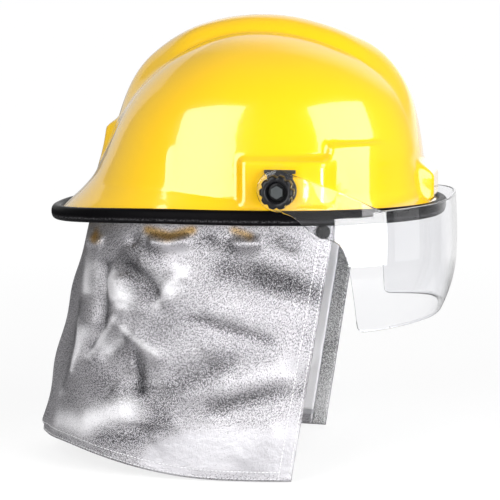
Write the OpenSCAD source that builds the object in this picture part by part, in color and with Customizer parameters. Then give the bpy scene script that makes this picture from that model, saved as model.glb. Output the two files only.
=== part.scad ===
// Rescue helmet: moulded shell with a raised crest, rubber brim trim, clear
// swing-up face visor on two hand-wheel pivots, foam liner, strap cradle with a
// ratchet headband, chin strap with a push-button buckle, and a neck curtain.
// Units: millimetres. +Z up, the face looks along -Y, the wearer's right is -X.
// Origin: centre of the brim opening, at the height of the brim edge.

/* [Shell] */
// Wall thickness of the moulded shell
shell_wall = 3; // [2.6:0.1:3.4]
// Height of the crest above the dome
crest_height = 11; // [9:0.5:12]
// Half width of the crest
crest_half_w = 31; // [28:1:34]
// Step of the side panels above the dome
panel_step = 2.2; // [1.5:0.1:2.6]

// Depth of the foam liner's inner face below the dome
liner_t = 17; // [15:0.5:17.5]

/* [Trim] */
// Height of the rubber edge trim
trim_h = 12.4; // [11:0.2:13]
// Width of the rubber edge trim
trim_w = 9.6; // [9:0.2:10]

/* [Visor] */
// Thickness of the clear visor
visor_t = 2; // [1.5:0.1:2.2]
// Height of the visor pivot above the brim edge
pivot_z = 22.5; // [21.5:0.5:23]
// Distance of the visor pivot in front of the middle
pivot_y = 43; // [42:0.5:44]
// Radius of the pivot journal
journal_r = 5; // [4.5:0.1:5.5]
// Radius of the hand wheel
knob_r = 13.9; // [13.4:0.1:14.4]

/* [Suspension] */
// Inner half length of the headband
band_a = 100; // [98:0.5:101]
// Inner half width of the headband
band_b = 79; // [77:0.5:80]
// Height of the headband
band_h = 22; // [20:1:24]
// Height of the strap cradle's crown
crown_z = 110; // [104:1:112]
// Width of the cradle webbing
web_w = 20; // [16:1:22]

/* [Chin strap] */
// Width of the chin strap
strap_w = 18; // [16:1:20]
// Thickness of the chin strap
strap_t = 1.6; // [1.4:0.1:1.8]

/* [Curtain] */
// Thickness of the curtain's outer cloth
cloth_t = 1.2; // [1:0.1:1.4]

/* [Hidden] */
$fn = 64;
N = 72;                       // points round the shell
E = 2/2.25;                   // superellipse power of the dome
// dome rows: height, front, rear, half width
LV = [
 [0, -163, 164.7, 114.4], [3, -160, 159.5, 114.3], [8, -153.5, 152, 114.2],
 [15, -150.5, 141.5, 114.1], [24, -149, 132, 113.9], [36, -147.5, 125.5, 113.5],
 [50, -146, 119, 112.5], [65, -143, 112, 110], [80, -138, 104, 105.5],
 [94, -131, 94.5, 99], [106, -121.5, 84, 91], [117, -109.5, 72, 81],
 [126, -96.5, 60, 70], [133, -82.5, 48.5, 59], [138.5, -68.5, 37, 48.5],
 [143, -53.5, 24.5, 37], [146.3, -39, 11.5, 25], [148, -25, -1.5, 12.5],
 [148.5, -12, -12, 0]];
NL = len(LV) - 1;

function unit(v) = v / norm(v);
function sgn(x) = x < 0 ? -1 : 1;
function spow(x, e) = sgn(x) * pow(abs(x), e);
function cl(x, a, b) = min(max(x, a), b);
function ss(a, b, x) = let (t = cl((x - a)/(b - a), 0, 1)) t*t*(3 - 2*t);
function cr(p0, p1, p2, p3, t) =
    0.5*(2*p1 + (p2 - p0)*t + (2*p0 - 5*p1 + 4*p2 - p3)*t*t + (3*p1 - p0 - 3*p2 + p3)*t*t*t);
function lrow(k) =
    let (i = cl(floor(k), 0, NL - 1), t = k - i, p1 = LV[i], p2 = LV[i + 1],
         p0 = i > 0 ? LV[i - 1] : 2*p1 - p2, p3 = i < NL - 1 ? LV[i + 2] : 2*p2 - p1)
    cr(p0, p1, p2, p3, t);
// sideways flare of the brim below a soft corner in the wall, whose height falls
// towards the front
function corner_z(y) = 14 + 7*cl((y + 5)/50, 0, 1);
function flare(z, y) =
    let (c = corner_z(y), d = c - z) 9.6/(c - 5)*(d < -2 ? 0 : d > 2 ? min(d, c - 5) : (d + 2)*(d + 2)/8);
// smooth dome and brim, with no mouldings
function base(k, a) =
    let (r = lrow(k), yc = -12*ss(60, 148.5, r[0]), c = cos(a), s = sin(a),
         y = yc + (s > 0 ? r[2] - yc : yc - r[1])*spow(s, E), x = (r[3] + flare(r[0], y))*spow(c, E),
         d = cl((y - 30)/135, 0, 1))
    [x, y, r[0] - 8*d*d*(1 - ss(0, 28, r[0]))];
function bnrm(k, a) =
    k >= NL - 0.01 ? [0, 0, 1] :
    unit(cross(base(k, a + 2) - base(k, a - 2), base(k + 0.1, a) - base(k - 0.1, a)));
// crest running front to back
function crest(p) =
    let (ang = atan2(p[2] - 20, -(p[1] + 12)), q = cl(abs(p[0])/crest_half_w, 0, 1),
         g = ang < -90 ? ang + 360 : ang)
    let (t = max(ss(112, 136, g), 1 - ss(40, 62, g)))
    (crest_height + 2.5*ss(95, 125, g))*ss(14, 52, g)*(1 - ss(132, 170, g))
    *((1 - t)*(1 - pow(q, 5)) + t*pow(1 - q*q, 1.6));
function crest_dir(p) = let (v = [0, p[1] + 12, p[2] - 20], l = norm(v)) l < 1e-6 ? [0, 0, 1] : v/l;
// mask of a panel with a rear edge at y1 that is 2*w wide, a top at z1 that fades
// over 2*h and a fade towards the front at y2
function pmask(p, y1, w, z1, h, y2) =
    (1 - ss(y1 - w, y1 + w, p[1]))*(1 - ss(z1 - h, z1 + h, p[2]))*ss(y2 - 22, y2, p[1]);
function side_push(p) = panel_step*cl((p[2] - 5)/(corner_z(p[1]) - 5), 0, 1)*(
    0.5*pmask(p, 97.5, 27.5, 50, 9, -74)*ss(-84, -74, p[1])*(1 + cl((p[1] - 46)/5, 0, 1))
    + 3*pmask(p, -79.5, 5, 58, 2.5, -110));
// nearly flat pad round each visor pivot: mask and distance from the middle plane
function pad(p) = (1 - ss(-12.6, -7.8, p[1]))*ss(-85, -76, p[1])*(1 - ss(44.4, 49, p[2]))*ss(3, 12, p[2]);
function pad_x(y) = 118.8 + 0.04*(y + pivot_y) - 0.13*max(0, -59.5 - y);
// flat seat under each visor pivot
function pivot_seat(p) = 1 - ss(16.5, 23, norm([p[1] + pivot_y, p[2] - pivot_z]));
SEAT_X = 118.8;
// front emblem seat and rear pad
function front_boss(p) = (1 - ss(24, 29, abs(p[0])))*(1 - ss(27, 33, p[2]))*ss(4, 9, p[2])*(p[1] < 0 ? 1 : 0);
function rear_boss(p) = (1 - ss(17, 21, abs(p[0])))*(1 - ss(66, 71, p[2]))*ss(22, 30, p[2])*(p[1] > 0 ? 1 : 0);
function surf(k, a) =
    let (p = base(k, a), s = sgn(p[0]),
         q = p + crest_dir(p)*crest(p) + [s*side_push(p)*ss(40, 75, abs(p[0])), 0, 0],
         w = abs(p[0]) > 80 ? pivot_seat(q) : 0, v = abs(p[0]) > 80 ? pad(q) : 0,
         x = q[0]*(1 - v) + s*pad_x(q[1])*v,
         u = [x*(1 - w) + s*SEAT_X*w, q[1], q[2]],
         f = front_boss(u), r = rear_boss(u))
    [u[0], u[1]*(1 - f) - 158.4*f + r*(cl((u[2] - 28)/40, 0, 1)*8 + 0.6), u[2]];
function ofs(k, a, d) = surf(k, a) - bnrm(k, a)*d;
function bofs(k, a, d) = base(k, a) - bnrm(k, a)*d;

// triangles of a ball-like stack: pole, rings of n points, pole (ring points run
// counter-clockwise seen from the last pole's side when it is the outside)
function ball_faces(n, m) = concat(
    [for (j = [0:n-1]) [0, 1 + j, 1 + (j + 1)%n]],
    [for (i = [0:m-2], j = [0:n-1]) let (a = 1 + i*n + j, b = 1 + i*n + (j + 1)%n) [a, a + n, b + n]],
    [for (i = [0:m-2], j = [0:n-1]) let (a = 1 + i*n + j, b = 1 + i*n + (j + 1)%n) [a, b + n, b]],
    [for (j = [0:n-1]) let (e = 1 + m*n) [1 + (m-1)*n + j, e, 1 + (m-1)*n + (j + 1)%n]]);
// triangles of a ring swept along a closed loop of m stations
function loop_faces(n, m) = concat(
    [for (i = [0:m-1], j = [0:n-1]) let (a = i*n + j, b = i*n + (j+1)%n, c = ((i+1)%m)*n + j, d = ((i+1)%m)*n + (j+1)%n) [a, b, d]],
    [for (i = [0:m-1], j = [0:n-1]) let (a = i*n + j, b = i*n + (j+1)%n, c = ((i+1)%m)*n + j, d = ((i+1)%m)*n + (j+1)%n) [a, d, c]]);
// triangles of a ring swept along an open run of m stations, closed by flat ends
function run_faces(n, m) = concat(
    [for (i = [0:m-2], j = [0:n-1]) let (a = i*n + j, b = i*n + (j+1)%n) [a, b + n, b]],
    [for (i = [0:m-2], j = [0:n-1]) let (a = i*n + j, b = i*n + (j+1)%n) [a, a + n, b + n]],
    [for (j = [0:n/2-2]) each [[j, j+1, n-1-j], [j+1, n-2-j, n-1-j]]],
    [for (j = [0:n/2-2]) let (e = (m-1)*n) each [[e+j, e+n-1-j, e+j+1], [e+j+1, e+n-1-j, e+n-2-j]]]);

KS = [0, 1, 2, 3, 4, 5, 6, 6.6, 7.2, 8, 9, 10, 11, 12, 13, 14, 15, 16, 17];
ANG = [for (j = [0:N-1]) 360*j/N];
function stack(inner, outer) =
    concat([inner[0]], [for (r = inner[1]) each r], [for (r = outer[1]) each r], [outer[0]]);

module shell() color("gold") difference() {
    polyhedron(concat(
        [ofs(NL, 0, shell_wall)],
        [for (i = [len(KS)-1:-1:0]) each [for (a = ANG) ofs(KS[i], a, shell_wall)]],
        [for (k = KS) each [for (a = ANG) surf(k, a)]],
        [surf(NL, 0)]), ball_faces(N, 2*len(KS)), convexity = 6);
    for (s = [-1, 1]) translate([s*100, -pivot_y, pivot_z]) rotate([0, s*90, 0]) cylinder(r = 3.4, h = 40);
}

// brim edge curve, point and outward direction at angle a
function edge(a) = base(0, a);
function edge_n(a) = let (t = edge(a + 1) - edge(a - 1)) unit([t[1], -t[0], 0]);
// trim: a U section gripping the brim edge
module edge_trim() color([0.07, 0.07, 0.08]) difference() {
    polyhedron([for (a = ANG) let (p = edge(a), n = edge_n(a))
        each [for (q = [[-4.4, -3], [-3, -6], [1.5, -6.2], [4.2, -4], [5, 0], [4.2, 4], [1.4, 6.2], [-2.4, 5.8], [-4.4, 3]])
            p + n*(q[0]*trim_w/9.4 - 0.4) + [0, 0, q[1]*trim_h/12.4]]],
        loop_faces(9, N), convexity = 8);
    shell_clearance();
}
// space that the shell's own edge takes in the trim
module shell_clearance() polyhedron(
    [for (a = ANG) let (g = 0.15, p = surf(0, a), m = bnrm(0, a), o = unit(p - surf(1, a)))
        each [p + m*g + o*0.4, surf(1, a) + bnrm(1, a)*g, surf(2, a) + bnrm(2, a)*g + [0, 0, 1],
              ofs(2, a, shell_wall + g) + [0, 0, 1], ofs(1, a, shell_wall + g), ofs(0, a, shell_wall + g) + o*0.4]],
    loop_faces(6, N), convexity = 8);

// foam liner between the dome and the cradle
LK = [5.5, 6, 7, 8, 9, 10, 11, 12, 13, 14, 15, 16];
module impact_liner() color([0.16, 0.16, 0.17]) {
    M = 60; A = [for (j = [0:M-1]) 360*j/M];
    polyhedron(concat(
        [[0, -12, 148.5 - liner_t]],
        [for (i = [len(LK)-1:-1:0]) each [for (a = A) bofs(LK[i], a, liner_t)]],
        [for (k = LK) each [for (a = A) bofs(k, a, shell_wall + 1.2)]],
        [[0, -12, 148.5 - shell_wall - 1.2]]), ball_faces(M, 2*len(LK)), convexity = 6);
}

// ---- visor pivots, drawn on the +X side ----
module on_pivot(x) translate([x, -pivot_y, pivot_z]) rotate([90, 0, 90]) children();
module axle(x1, x2, r, n = 64) translate([x1, -pivot_y, pivot_z]) rotate([0, 90, 0]) cylinder(r = r, h = x2 - x1, $fn = n);
HUB_X = 125.4;
module bracket() color([0.06, 0.06, 0.07]) difference() {
    union() {
        on_pivot(119) linear_extrude(2.6) union() {
            circle(r = 13.6);
            translate([-10, 0]) square([20, 14]);
            translate([-12.6, 13.2]) square([25.2, 3]);
        }
        axle(119, HUB_X, 9.5);
    }
    axle(110, 130, journal_r);
}
module pivot_bracket_right() mirror([1, 0, 0]) bracket();
module pivot_bracket_left() bracket();
module bush() difference() { axle(119, 129, journal_r); axle(110, 140, 3.08); }
module pivot_bushes() color("silver") for (s = [0, 1]) mirror([s, 0, 0]) bush();
module hexnut() difference() {
    union() { axle(109.3, 113.2, 5.77, 6); axle(113.2, 114.6, 8.5); }
    axle(100, 120, 3.08);
}
module pivot_nuts() color([0.6, 0.6, 0.62]) for (s = [0, 1]) mirror([s, 0, 0]) hexnut();
module knob() color([0.08, 0.08, 0.09]) difference() {
    union() {
        axle(130.3, 139.6, knob_r);
        axle(139.6, 141, knob_r - 1.2);
    }
    for (i = [0:9]) on_pivot(129) rotate(i*36 + 18) translate([knob_r + 2.4, 0]) cylinder(r = 3.7, h = 14, $fn = 32);
    axle(134, 145, 8);
    axle(120, 145, 3);
}
module knob_bolt() color([0.45, 0.46, 0.48]) union() {
    axle(105, 134, 3);
    axle(134, 138, 5.77, 6);
}
module thrust_washer() color("silver") difference() { axle(129.2, 130.3, 8.5); axle(120, 140, 3); }
module visor_knob_right() mirror([1, 0, 0]) knob();
module visor_knob_left() knob();
module pivot_bolt_right() mirror([1, 0, 0]) knob_bolt();
module pivot_bolt_left() knob_bolt();
module thrust_washer_right() mirror([1, 0, 0]) thrust_washer();
module thrust_washer_left() thrust_washer();

// ---- visor ----
EAR_X = 128.6;
VN = 2/2.9;
VA = 175.5;                   // reach of the visor in front
VBW = 130;                    // half width of the visor's plan curve
function crease_z(y) = y > -120 ? -3.5 + 0.16*(-62 - y) : 5.78 + 0.07*(-120 - y);
function arm_top(y) = 35.4 + 0.425*(y + 56) + 1.5*sin(180*cl((-56 - y)/68, 0, 1));
// lower and rear outline of the visor, as [y, z] corners
VB = [[-46, 5], [-55, 2], [-62, -4], [-74, -13.5], [-84, -16.5], [-92, -21.5], [-97, -31], [-100, -44],
      [-103, -58], [-106.2, -70], [-110, -81.5], [-113.5, -89], [-118.5, -92.2], [-130, -91.8], [-148, -90], [-166, -88], [-180, -87]];
function vis_b(y, i = 0) = i >= len(VB) - 2 || y > VB[i + 1][0]
    ? VB[i][1] + (VB[i + 1][1] - VB[i][1])*(y - VB[i][0])/(VB[i + 1][0] - VB[i][0]) : vis_b(y, i + 1);
function vis_t(y) = max(crease_z(y), min(arm_top(y), 35));
// scale of the plan curve at height z: a slight barrel, curling in at the bottom
function vis_s(z) = z > -32 ? 1 - 0.012*pow((z + 32)/46, 2) : 1 - 0.062*pow((-32 - z)/54, 2.4);
function vplan(t, z) =
    let (y0 = -VA*spow(sin(t), VN), x0 = VBW*spow(cos(t), VN), s = vis_s(z), f = ss(-46, -62, y0),
         lean = 0.26*ss(-68, -94, y0)*max(0, z - crease_z(y0)))
    [EAR_X*(1 - f) + f*min(x0*(1 - (1 - s)*0.45) - lean, EAR_X + 2), y0*s];
function vis_pt(t, z, d) = let (p = vplan(t, z), g = vplan(min(t + 0.4, 90), z) - vplan(t - 0.4, z), n = t > 89.9 ? [0, -1] : unit([-g[1], g[0]]))
    [t > 89.9 ? 0 : p[0] - n[0]*d, p[1] - n[1]*d, z];
// plan angles of the columns, from the ear to the middle
VY = [-54, -58, -62, -66, -70, -74, -79, -84, -88.5, -92, -95, -97, -98.5, -100, -101.5, -103, -104.6, -106.2, -108, -110, -112, -113.5, -115.5, -118.5, -125, -133];
VT = concat([for (y = VY) asin(pow(-y/VA, 1/VN))], [for (t = [48:6:90]) t]);
VTA = concat(VT, [for (i = [len(VT)-2:-1:0]) 180 - VT[i]]);
VR = 7;
function vis_ring(t) = let (y = -VA*spow(sin(t), VN), zt = vis_t(y), zb = vis_b(y))
    concat([for (i = [0:VR]) let (z = zb + (zt - zb)*i/VR) mir(vis_pt(t > 90 ? 180 - t : t, z, 0), t)],
           [for (i = [VR:-1:0]) let (z = zb + (zt - zb)*i/VR) mir(vis_pt(t > 90 ? 180 - t : t, z, visor_t), t)]);
function mir(p, t) = t > 90 ? [-p[0], p[1], p[2]] : p;
module visor() color([0.8, 0.86, 0.9, 0.35]) difference() {
    union() {
        polyhedron([for (t = VTA) each vis_ring(t)], run_faces(2*(VR + 1), len(VTA)), convexity = 8);
        for (s = [0, 1]) mirror([s, 0, 0]) axle(EAR_X - visor_t, EAR_X, 17);
    }
    for (s = [0, 1]) mirror([s, 0, 0]) axle(110, 140, journal_r + 0.06);
}
module visor_washers() color([0.2, 0.2, 0.2]) for (s = [0, 1]) mirror([s, 0, 0])
    difference() { axle(HUB_X + 0.3, EAR_X - visor_t, 8.4); axle(110, 140, journal_r + 0.06); }

// ---- cradle and headband ----
function hb(a, o) = [(band_b + o)*spow(cos(a), 2/2.2), (band_a + o)*spow(sin(a), 2/2.2)];
module band_arc(a1, a2, o1, o2, step = 4) polygon(concat(
    [for (a = [a1:step:a2]) hb(a, o2)], [for (a = [a2:-step:a1]) hb(a, o1)]));
RACK_Y = 106;                 // inner face of the toothed strips
module headband() color([0.1, 0.1, 0.11]) difference() {
    union() {
        translate([0, 0, 2]) linear_extrude(band_h) band_arc(118, 422, 0, 2);
        for (s = [-1, 1]) translate([s*42 - 5, 88, -9]) cube([10, 23, 34]);
    }
    for (s = [-1, 1]) translate([s*42 - 6, RACK_Y - 0.4, -7]) cube([12, 3.8, 30]);
    for (s = [-1, 1]) translate([s*42 - 6, 80, -12]) cube([12, 10.2, 14]);
}
module brow_pad() color([0.2, 0.19, 0.18]) linear_extrude(26) band_arc(198, 342, -3.6, -0.2);
module nape_pad() color([0.2, 0.19, 0.18]) translate([-27, 97, -7]) cube([54, 5, 30]);
function ring_r(t) = pow(pow(abs(cos(t))/88, 2.2) + pow(abs(sin(t))/107, 2.2), -1/2.2);
function arch(q, r, z0, h) = [r*spow(cos(q), 2/2.3), z0 + h*spow(sin(q), 2/2.3)];
module web_arch(t) let (r = ring_r(t), h = crown_z - 16)
    rotate([0, 0, t]) rotate([90, 0, 0]) linear_extrude(web_w, center = true) polygon(concat(
        [for (q = [0:6:180]) arch(q, r + 0.7, 16, h + 0.7)], [for (q = [180:-6:0]) arch(q, r - 0.7, 16, h - 0.7)]));
module crown_straps() color([0.13, 0.13, 0.14]) for (t = [0, 54, 126]) web_arch(t);
module crown_patch() color([0.1, 0.1, 0.1]) translate([0, 0, crown_z + 0.9]) cylinder(r = 17, h = 1.6);
// inner radius of the shell in direction t, low on the wall
function wall_r(k, t, d) = let (r = lrow(k), b = r[3] - d, a = (sin(t) > 0 ? r[2] : -r[1]) - d)
    pow(pow(abs(cos(t))/b, 2.25) + pow(abs(sin(t))/a, 2.25), -1/2.25);
function hb_r(t) = pow(pow(abs(cos(t))/(band_b + 2), 2.2) + pow(abs(sin(t))/(band_a + 2), 2.2), -1/2.2);
module hanger(t) let (r = ring_r(t), w = wall_r(4.6, t, shell_wall + 1.8)) rotate([0, 0, t]) difference() {
    union() {
        translate([hb_r(t) + 1.6, -7, 11]) cube([w - hb_r(t) - 1.7, 14, 4.8]);
        translate([w - 3, -9, 11]) cube([3, 18, 17]);
        translate([r - 2.6, -web_w/2 - 1.6, 11]) cube([6.6, web_w + 3.2, 13]);
    }
    translate([r - 1.5, -web_w/2 - 0.4, 15.8]) cube([2.7, web_w + 0.8, 12]);
}
module cradle_hangers() color([0.08, 0.08, 0.09]) for (t = [0, 54, 126, 180, 234, 306]) hanger(t);

// ---- ratchet at the nape: a pinion drives two toothed strips ----
RZ = 8;                       // height of the pinion axis
PR = 6;                       // pitch radius
TP = 2*PI*PR/12;              // tooth pitch
module nape_housing() color([0.09, 0.09, 0.1]) difference() {
    translate([-30, 105, -9]) cube([60, 9.5, 34]);
    translate([-31, 104, -6.6]) cube([62, 5.4, 29.2]);
    translate([0, 100, RZ]) rotate([-90, 0, 0]) cylinder(r = 3.08, h = 30);
    translate([0, 112.9, RZ]) rotate([-90, 0, 0]) cylinder(r = 9, h = 5);
}
module nape_cover() color([0.12, 0.12, 0.13]) difference() {
    translate([-30, 102.6, -9]) cube([60, 2.4, 34]);
    translate([0, 100, RZ]) rotate([-90, 0, 0]) cylinder(r = 3.08, h = 30);
}
module cover_screws() color("silver") for (x = [-25, 25], z = [-7.7, 23.7])
    translate([x, 114.5, z]) rotate([-90, 0, 0]) union() { cylinder(r = 1.2, h = 1); }
function gear_pt(r, w, s) = let (h = w/2/r*180/PI) [r*sin(s*h), r*cos(s*h)];
module ratchet_pinion() color([0.75, 0.72, 0.62]) translate([0, 0, RZ]) union() {
    translate([0, 105.6, 0]) rotate([-90, 0, 0]) linear_extrude(3.2) union() {
        circle(r = PR - 1.1);
        for (i = [0:11]) rotate(i*30) polygon([gear_pt(PR - 1.3, TP*0.55, -1), gear_pt(PR, TP*0.42, -1), gear_pt(PR + 0.75, TP*0.22, -1),
            gear_pt(PR + 0.75, TP*0.22, 1), gear_pt(PR, TP*0.42, 1), gear_pt(PR - 1.3, TP*0.55, 1)]);
    }
    translate([0, 102.8, 0]) rotate([-90, 0, 0]) cylinder(r = 3, h = 14.4);
}
module ratchet_knob() color([0.08, 0.08, 0.09]) translate([0, 0, RZ]) difference() {
    union() {
        translate([0, 116.2, 0]) rotate([-90, 0, 0]) cylinder(r = 17, h = 11);
        translate([0, 114.9, 0]) rotate([-90, 0, 0]) cylinder(r = 8, h = 2);
    }
    for (i = [0:11]) rotate([0, i*30, 0]) translate([18.6, 115, 0]) rotate([-90, 0, 0]) cylinder(r = 3, h = 16, $fn = 24);
    translate([0, 113, 0]) rotate([-90, 0, 0]) cylinder(r = 3, h = 4.2);
    translate([0, 125.2, 0]) rotate([-90, 0, 0]) cylinder(r = 9, h = 5);
}
// toothed strip above the pinion, drawn for the right side
module rack() translate([0, RACK_Y, 0]) difference() {
    union() {
        translate([-46, 0, PR + 1.3]) cube([58, 2.6, 5.2]);
        for (i = [-3:3]) translate([(i + 0.5)*TP, 0, PR]) rotate([90, 0, 0]) mirror([0, 0, 1]) linear_extrude(2.6)
            polygon([[-TP*0.31, 1.4], [-TP*0.21, 0], [-TP*0.12, -0.75], [TP*0.12, -0.75], [TP*0.21, 0], [TP*0.31, 1.4]]);
    }
}
module rack_right() color([0.14, 0.14, 0.15]) translate([0, 0, RZ]) rack();
module rack_left() color([0.14, 0.14, 0.15]) translate([0, 0, RZ]) rotate([0, 180, 0]) rack();

// ---- chin strap, hanging in the plane y = strap_y ----
strap_y = 22;
STUD_Z = 14;
module strap_anchors() color([0.1, 0.1, 0.1]) for (s = [0, 1]) mirror([s, 0, 0]) difference() {
    translate([106.9, strap_y - 13, 5]) cube([2.1, 26, 23]);
    for (d = [-8, 8]) translate([100, strap_y + d, 24]) rotate([0, 90, 0]) cylinder(r = 1.8, h = 20);
}
module anchor_screws() color("silver") for (s = [0, 1], d = [-8, 8]) mirror([s, 0, 0]) translate([0, strap_y + d, 24]) rotate([0, 90, 0]) union() {
    translate([0, 0, 105.9]) cylinder(r = 3.2, h = 1);
    translate([0, 0, 106.9]) cylinder(r = 1.8, h = 5.2);
}
module strap_studs() color("silver") for (s = [0, 1]) mirror([s, 0, 0]) translate([0, strap_y, STUD_Z]) rotate([0, 90, 0]) union() {
    translate([0, 0, 99.9]) cylinder(r = 6.4, h = 2);
    translate([0, 0, 101.9]) cylinder(r = 4, h = 5);
}
module strap_end() translate([0, strap_y, STUD_Z]) difference() {
    union() {
        translate([102.4, 0, 0]) rotate([0, 90, 0]) cylinder(r = 9.3, h = 3.4);
        translate([102.4, -strap_w/2, -20]) cube([3.4, strap_w, 18]);
    }
    translate([100, 0, 0]) rotate([0, 90, 0]) cylinder(r = 4.06, h = 10);
}
module strap_end_plates() color([0.1, 0.1, 0.1]) for (s = [0, 1]) mirror([s, 0, 0]) strap_end();
// centre line of the webbing on the +X side, as [x, z]
SP = [[104.1, -6], [103.9, -13], [103.2, -20], [102, -27], [76, -84], [70, -94], [61, -102], [50, -107.5], [36, -111.5], [18, -113.6], [0, -114.2]];
function path_n(p, i) = let (a = p[max(i - 1, 0)], b = p[min(i + 1, len(p) - 1)], t = unit(b - a)) [t[1], -t[0]];
module webbing(p) translate([0, strap_y + strap_w/2, 0]) rotate([90, 0, 0]) linear_extrude(strap_w)
    polygon(concat([for (i = [0:len(p)-1]) p[i] + path_n(p, i)*strap_t/2], [for (i = [len(p)-1:-1:0]) p[i] - path_n(p, i)*strap_t/2]));
BC = [89.2, -55.6];           // middle of the buckle
BA = 24.9;                    // tilt of the buckle
BU = [sin(BA), cos(BA)];
module on_buckle() translate([BC[0], strap_y, BC[1]]) rotate([0, BA, 0]) children();
module chin_strap_upper() color([0.12, 0.12, 0.13]) webbing([SP[0], SP[1], SP[2], SP[3], BC + BU*22.2]);
module chin_strap_lower() color([0.12, 0.12, 0.13]) webbing(concat([BC - BU*20.2], [for (i = [4:10]) SP[i]],
    [for (i = [9:-1:0]) [-SP[i][0], SP[i][1]]]));
module buckle_female() color([0.07, 0.07, 0.08]) on_buckle() difference() {
    union() {
        translate([-5, -14, -6]) cube([10, 28, 22]);
        translate([-3, -12, 15]) cube([6, 24, 7]);
    }
    translate([-2.1, -10.2, -7]) cube([4.2, 20.4, 17]);
    translate([1, -6, 0]) cube([6, 12, 10]);
}
module buckle_button() color([0.75, 0.1, 0.06]) on_buckle() translate([3.2, -5.7, 0.3]) cube([3.3, 11.4, 9.4]);
module buckle_male() color([0.07, 0.07, 0.08]) on_buckle() union() {
    translate([-3.2, -13, -20]) cube([6.4, 26, 13.6]);
    translate([-1.7, -9.6, -7]) cube([3.4, 19.2, 15]);
}
module strap_slider() color([0.07, 0.07, 0.08]) mirror([1, 0, 0]) on_buckle() difference() {
    translate([-2.6, -12.5, -9]) cube([5.2, 25, 18]);
    translate([-strap_t/2 - 0.5, -strap_w/2 - 0.5, -10]) cube([strap_t + 1, strap_w + 1, 20]);
}
CP = [for (x = [40:-8:-40]) let (q = x/40) [x, -111.5 + 4.6*q*q*q*q - 1.2*(1 - q*q)]];
module chin_cup() color([0.09, 0.09, 0.1]) intersection() {
    translate([0, strap_y + 18, 0]) rotate([90, 0, 0]) linear_extrude(36)
        polygon(concat([for (p = CP) p + [0, 0.2]], [for (i = [len(CP)-1:-1:0]) CP[i] + [0, 4.2]]));
    union() {
        translate([-24, strap_y - 18, -130]) cube([48, 36, 40]);
        for (s = [-1, 1]) translate([s*24, strap_y, -130]) cylinder(r = 18, h = 40);
    }
}

// ---- neck curtain ----
CE = 2/2.3;
function cur_R(z) = 136 + 0.23*max(0, -15 - z);
function cur_b(z) = 111.9 + 0.03*max(0, -z);
function cur_front(z) = z > -13 ? 84 : 84 - 0.158*(-13 - z);
function cur_bot(u) = let (q = abs(2*u - 1)) -197 - 19*ss(0.3, 0.85, q);
function cur_pt(u, v, d) =
    let (z = 2 + (cur_bot(u) - 2)*v, w = asin(pow(cur_front(z)/150, 1.15)), a = -w + (180 + 2*w)*u,
         b = cur_b(z), R = sin(a) > 0 ? cur_R(z) : 150,
         x = b*spow(cos(a), CE), y = R*spow(sin(a), CE),
         n = unit([pow(abs(x)/b, 1.3)*sgn(x)/b, pow(abs(y)/R, 1.3)*sgn(y)/R]))
    [x - n[0]*d, y - n[1]*d, z];
module cloth(u1, u2, v1, v2, d1, d2, nu, nv) polyhedron(
    [for (i = [0:nu]) let (u = u1 + (u2 - u1)*i/nu)
        each concat([for (j = [0:nv]) cur_pt(u, v1 + (v2 - v1)*j/nv, d1)], [for (j = [nv:-1:0]) cur_pt(u, v1 + (v2 - v1)*j/nv, d2)])],
    run_faces(2*(nv + 1), nu + 1), convexity = 8);
module neck_curtain() color([0.72, 0.73, 0.75]) cloth(0, 1, 0, 1, 0, cloth_t, 44, 6);
module curtain_lining() color([0.55, 0.55, 0.57]) cloth(0.004, 0.996, 0.02, 0.985, cloth_t + 0.4, cloth_t + 1.4, 44, 6);
module curtain_fasteners() color([0.9, 0.9, 0.9]) {
    cloth(0.02, 0.062, 0.2, 0.93, cloth_t + 1.6, cloth_t + 2.6, 2, 6);
    cloth(0.938, 0.98, 0.2, 0.93, cloth_t + 1.6, cloth_t + 2.6, 2, 6);
}
// webbing that holds the curtain's top edge inside the brim
function cband(a, o) = [(113.6 + o)*spow(cos(a), CE), (sin(a) > 0 ? 138.2 + o : 151 + o)*spow(sin(a), CE)];
module curtain_band() color([0.12, 0.12, 0.13]) translate([0, 0, -4]) linear_extrude(8)
    polygon(concat([for (a = [-31:5:211]) cband(a, 0.8)], [for (a = [211:-5:-31]) cband(a, -0.6)]));
SNAP = cur_pt(0.0165, 0.066, -0.35);
SNAP_N = SNAP - cur_pt(0.0165, 0.066, 1);
module curtain_snaps() color([0.07, 0.07, 0.08]) for (s = [0, 1]) mirror([s, 0, 0])
    translate(SNAP) rotate([0, 90, atan2(SNAP_N[1], SNAP_N[0])]) union() { cylinder(r = 5.8, h = 1.6); cylinder(r = 4.2, h = 2.8); }

shell();
edge_trim();
impact_liner();
pivot_bracket_right();
pivot_bracket_left();
pivot_bushes();
pivot_nuts();
visor();
visor_washers();
visor_knob_right();
pivot_bolt_right();
thrust_washer_right();
visor_knob_left();
pivot_bolt_left();
thrust_washer_left();
headband();
brow_pad();
nape_pad();
crown_straps();
crown_patch();
cradle_hangers();
nape_housing();
nape_cover();
cover_screws();
ratchet_knob();
ratchet_pinion();
rack_right();
rack_left();
strap_anchors();
anchor_screws();
strap_studs();
strap_end_plates();
chin_strap_upper();
chin_strap_lower();
buckle_female();
buckle_male();
buckle_button();
strap_slider();
chin_cup();
neck_curtain();
curtain_lining();
curtain_fasteners();
curtain_band();
curtain_snaps();
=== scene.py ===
import bpy
import bmesh
import math
import numpy as np
from mathutils import Matrix, Vector


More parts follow.
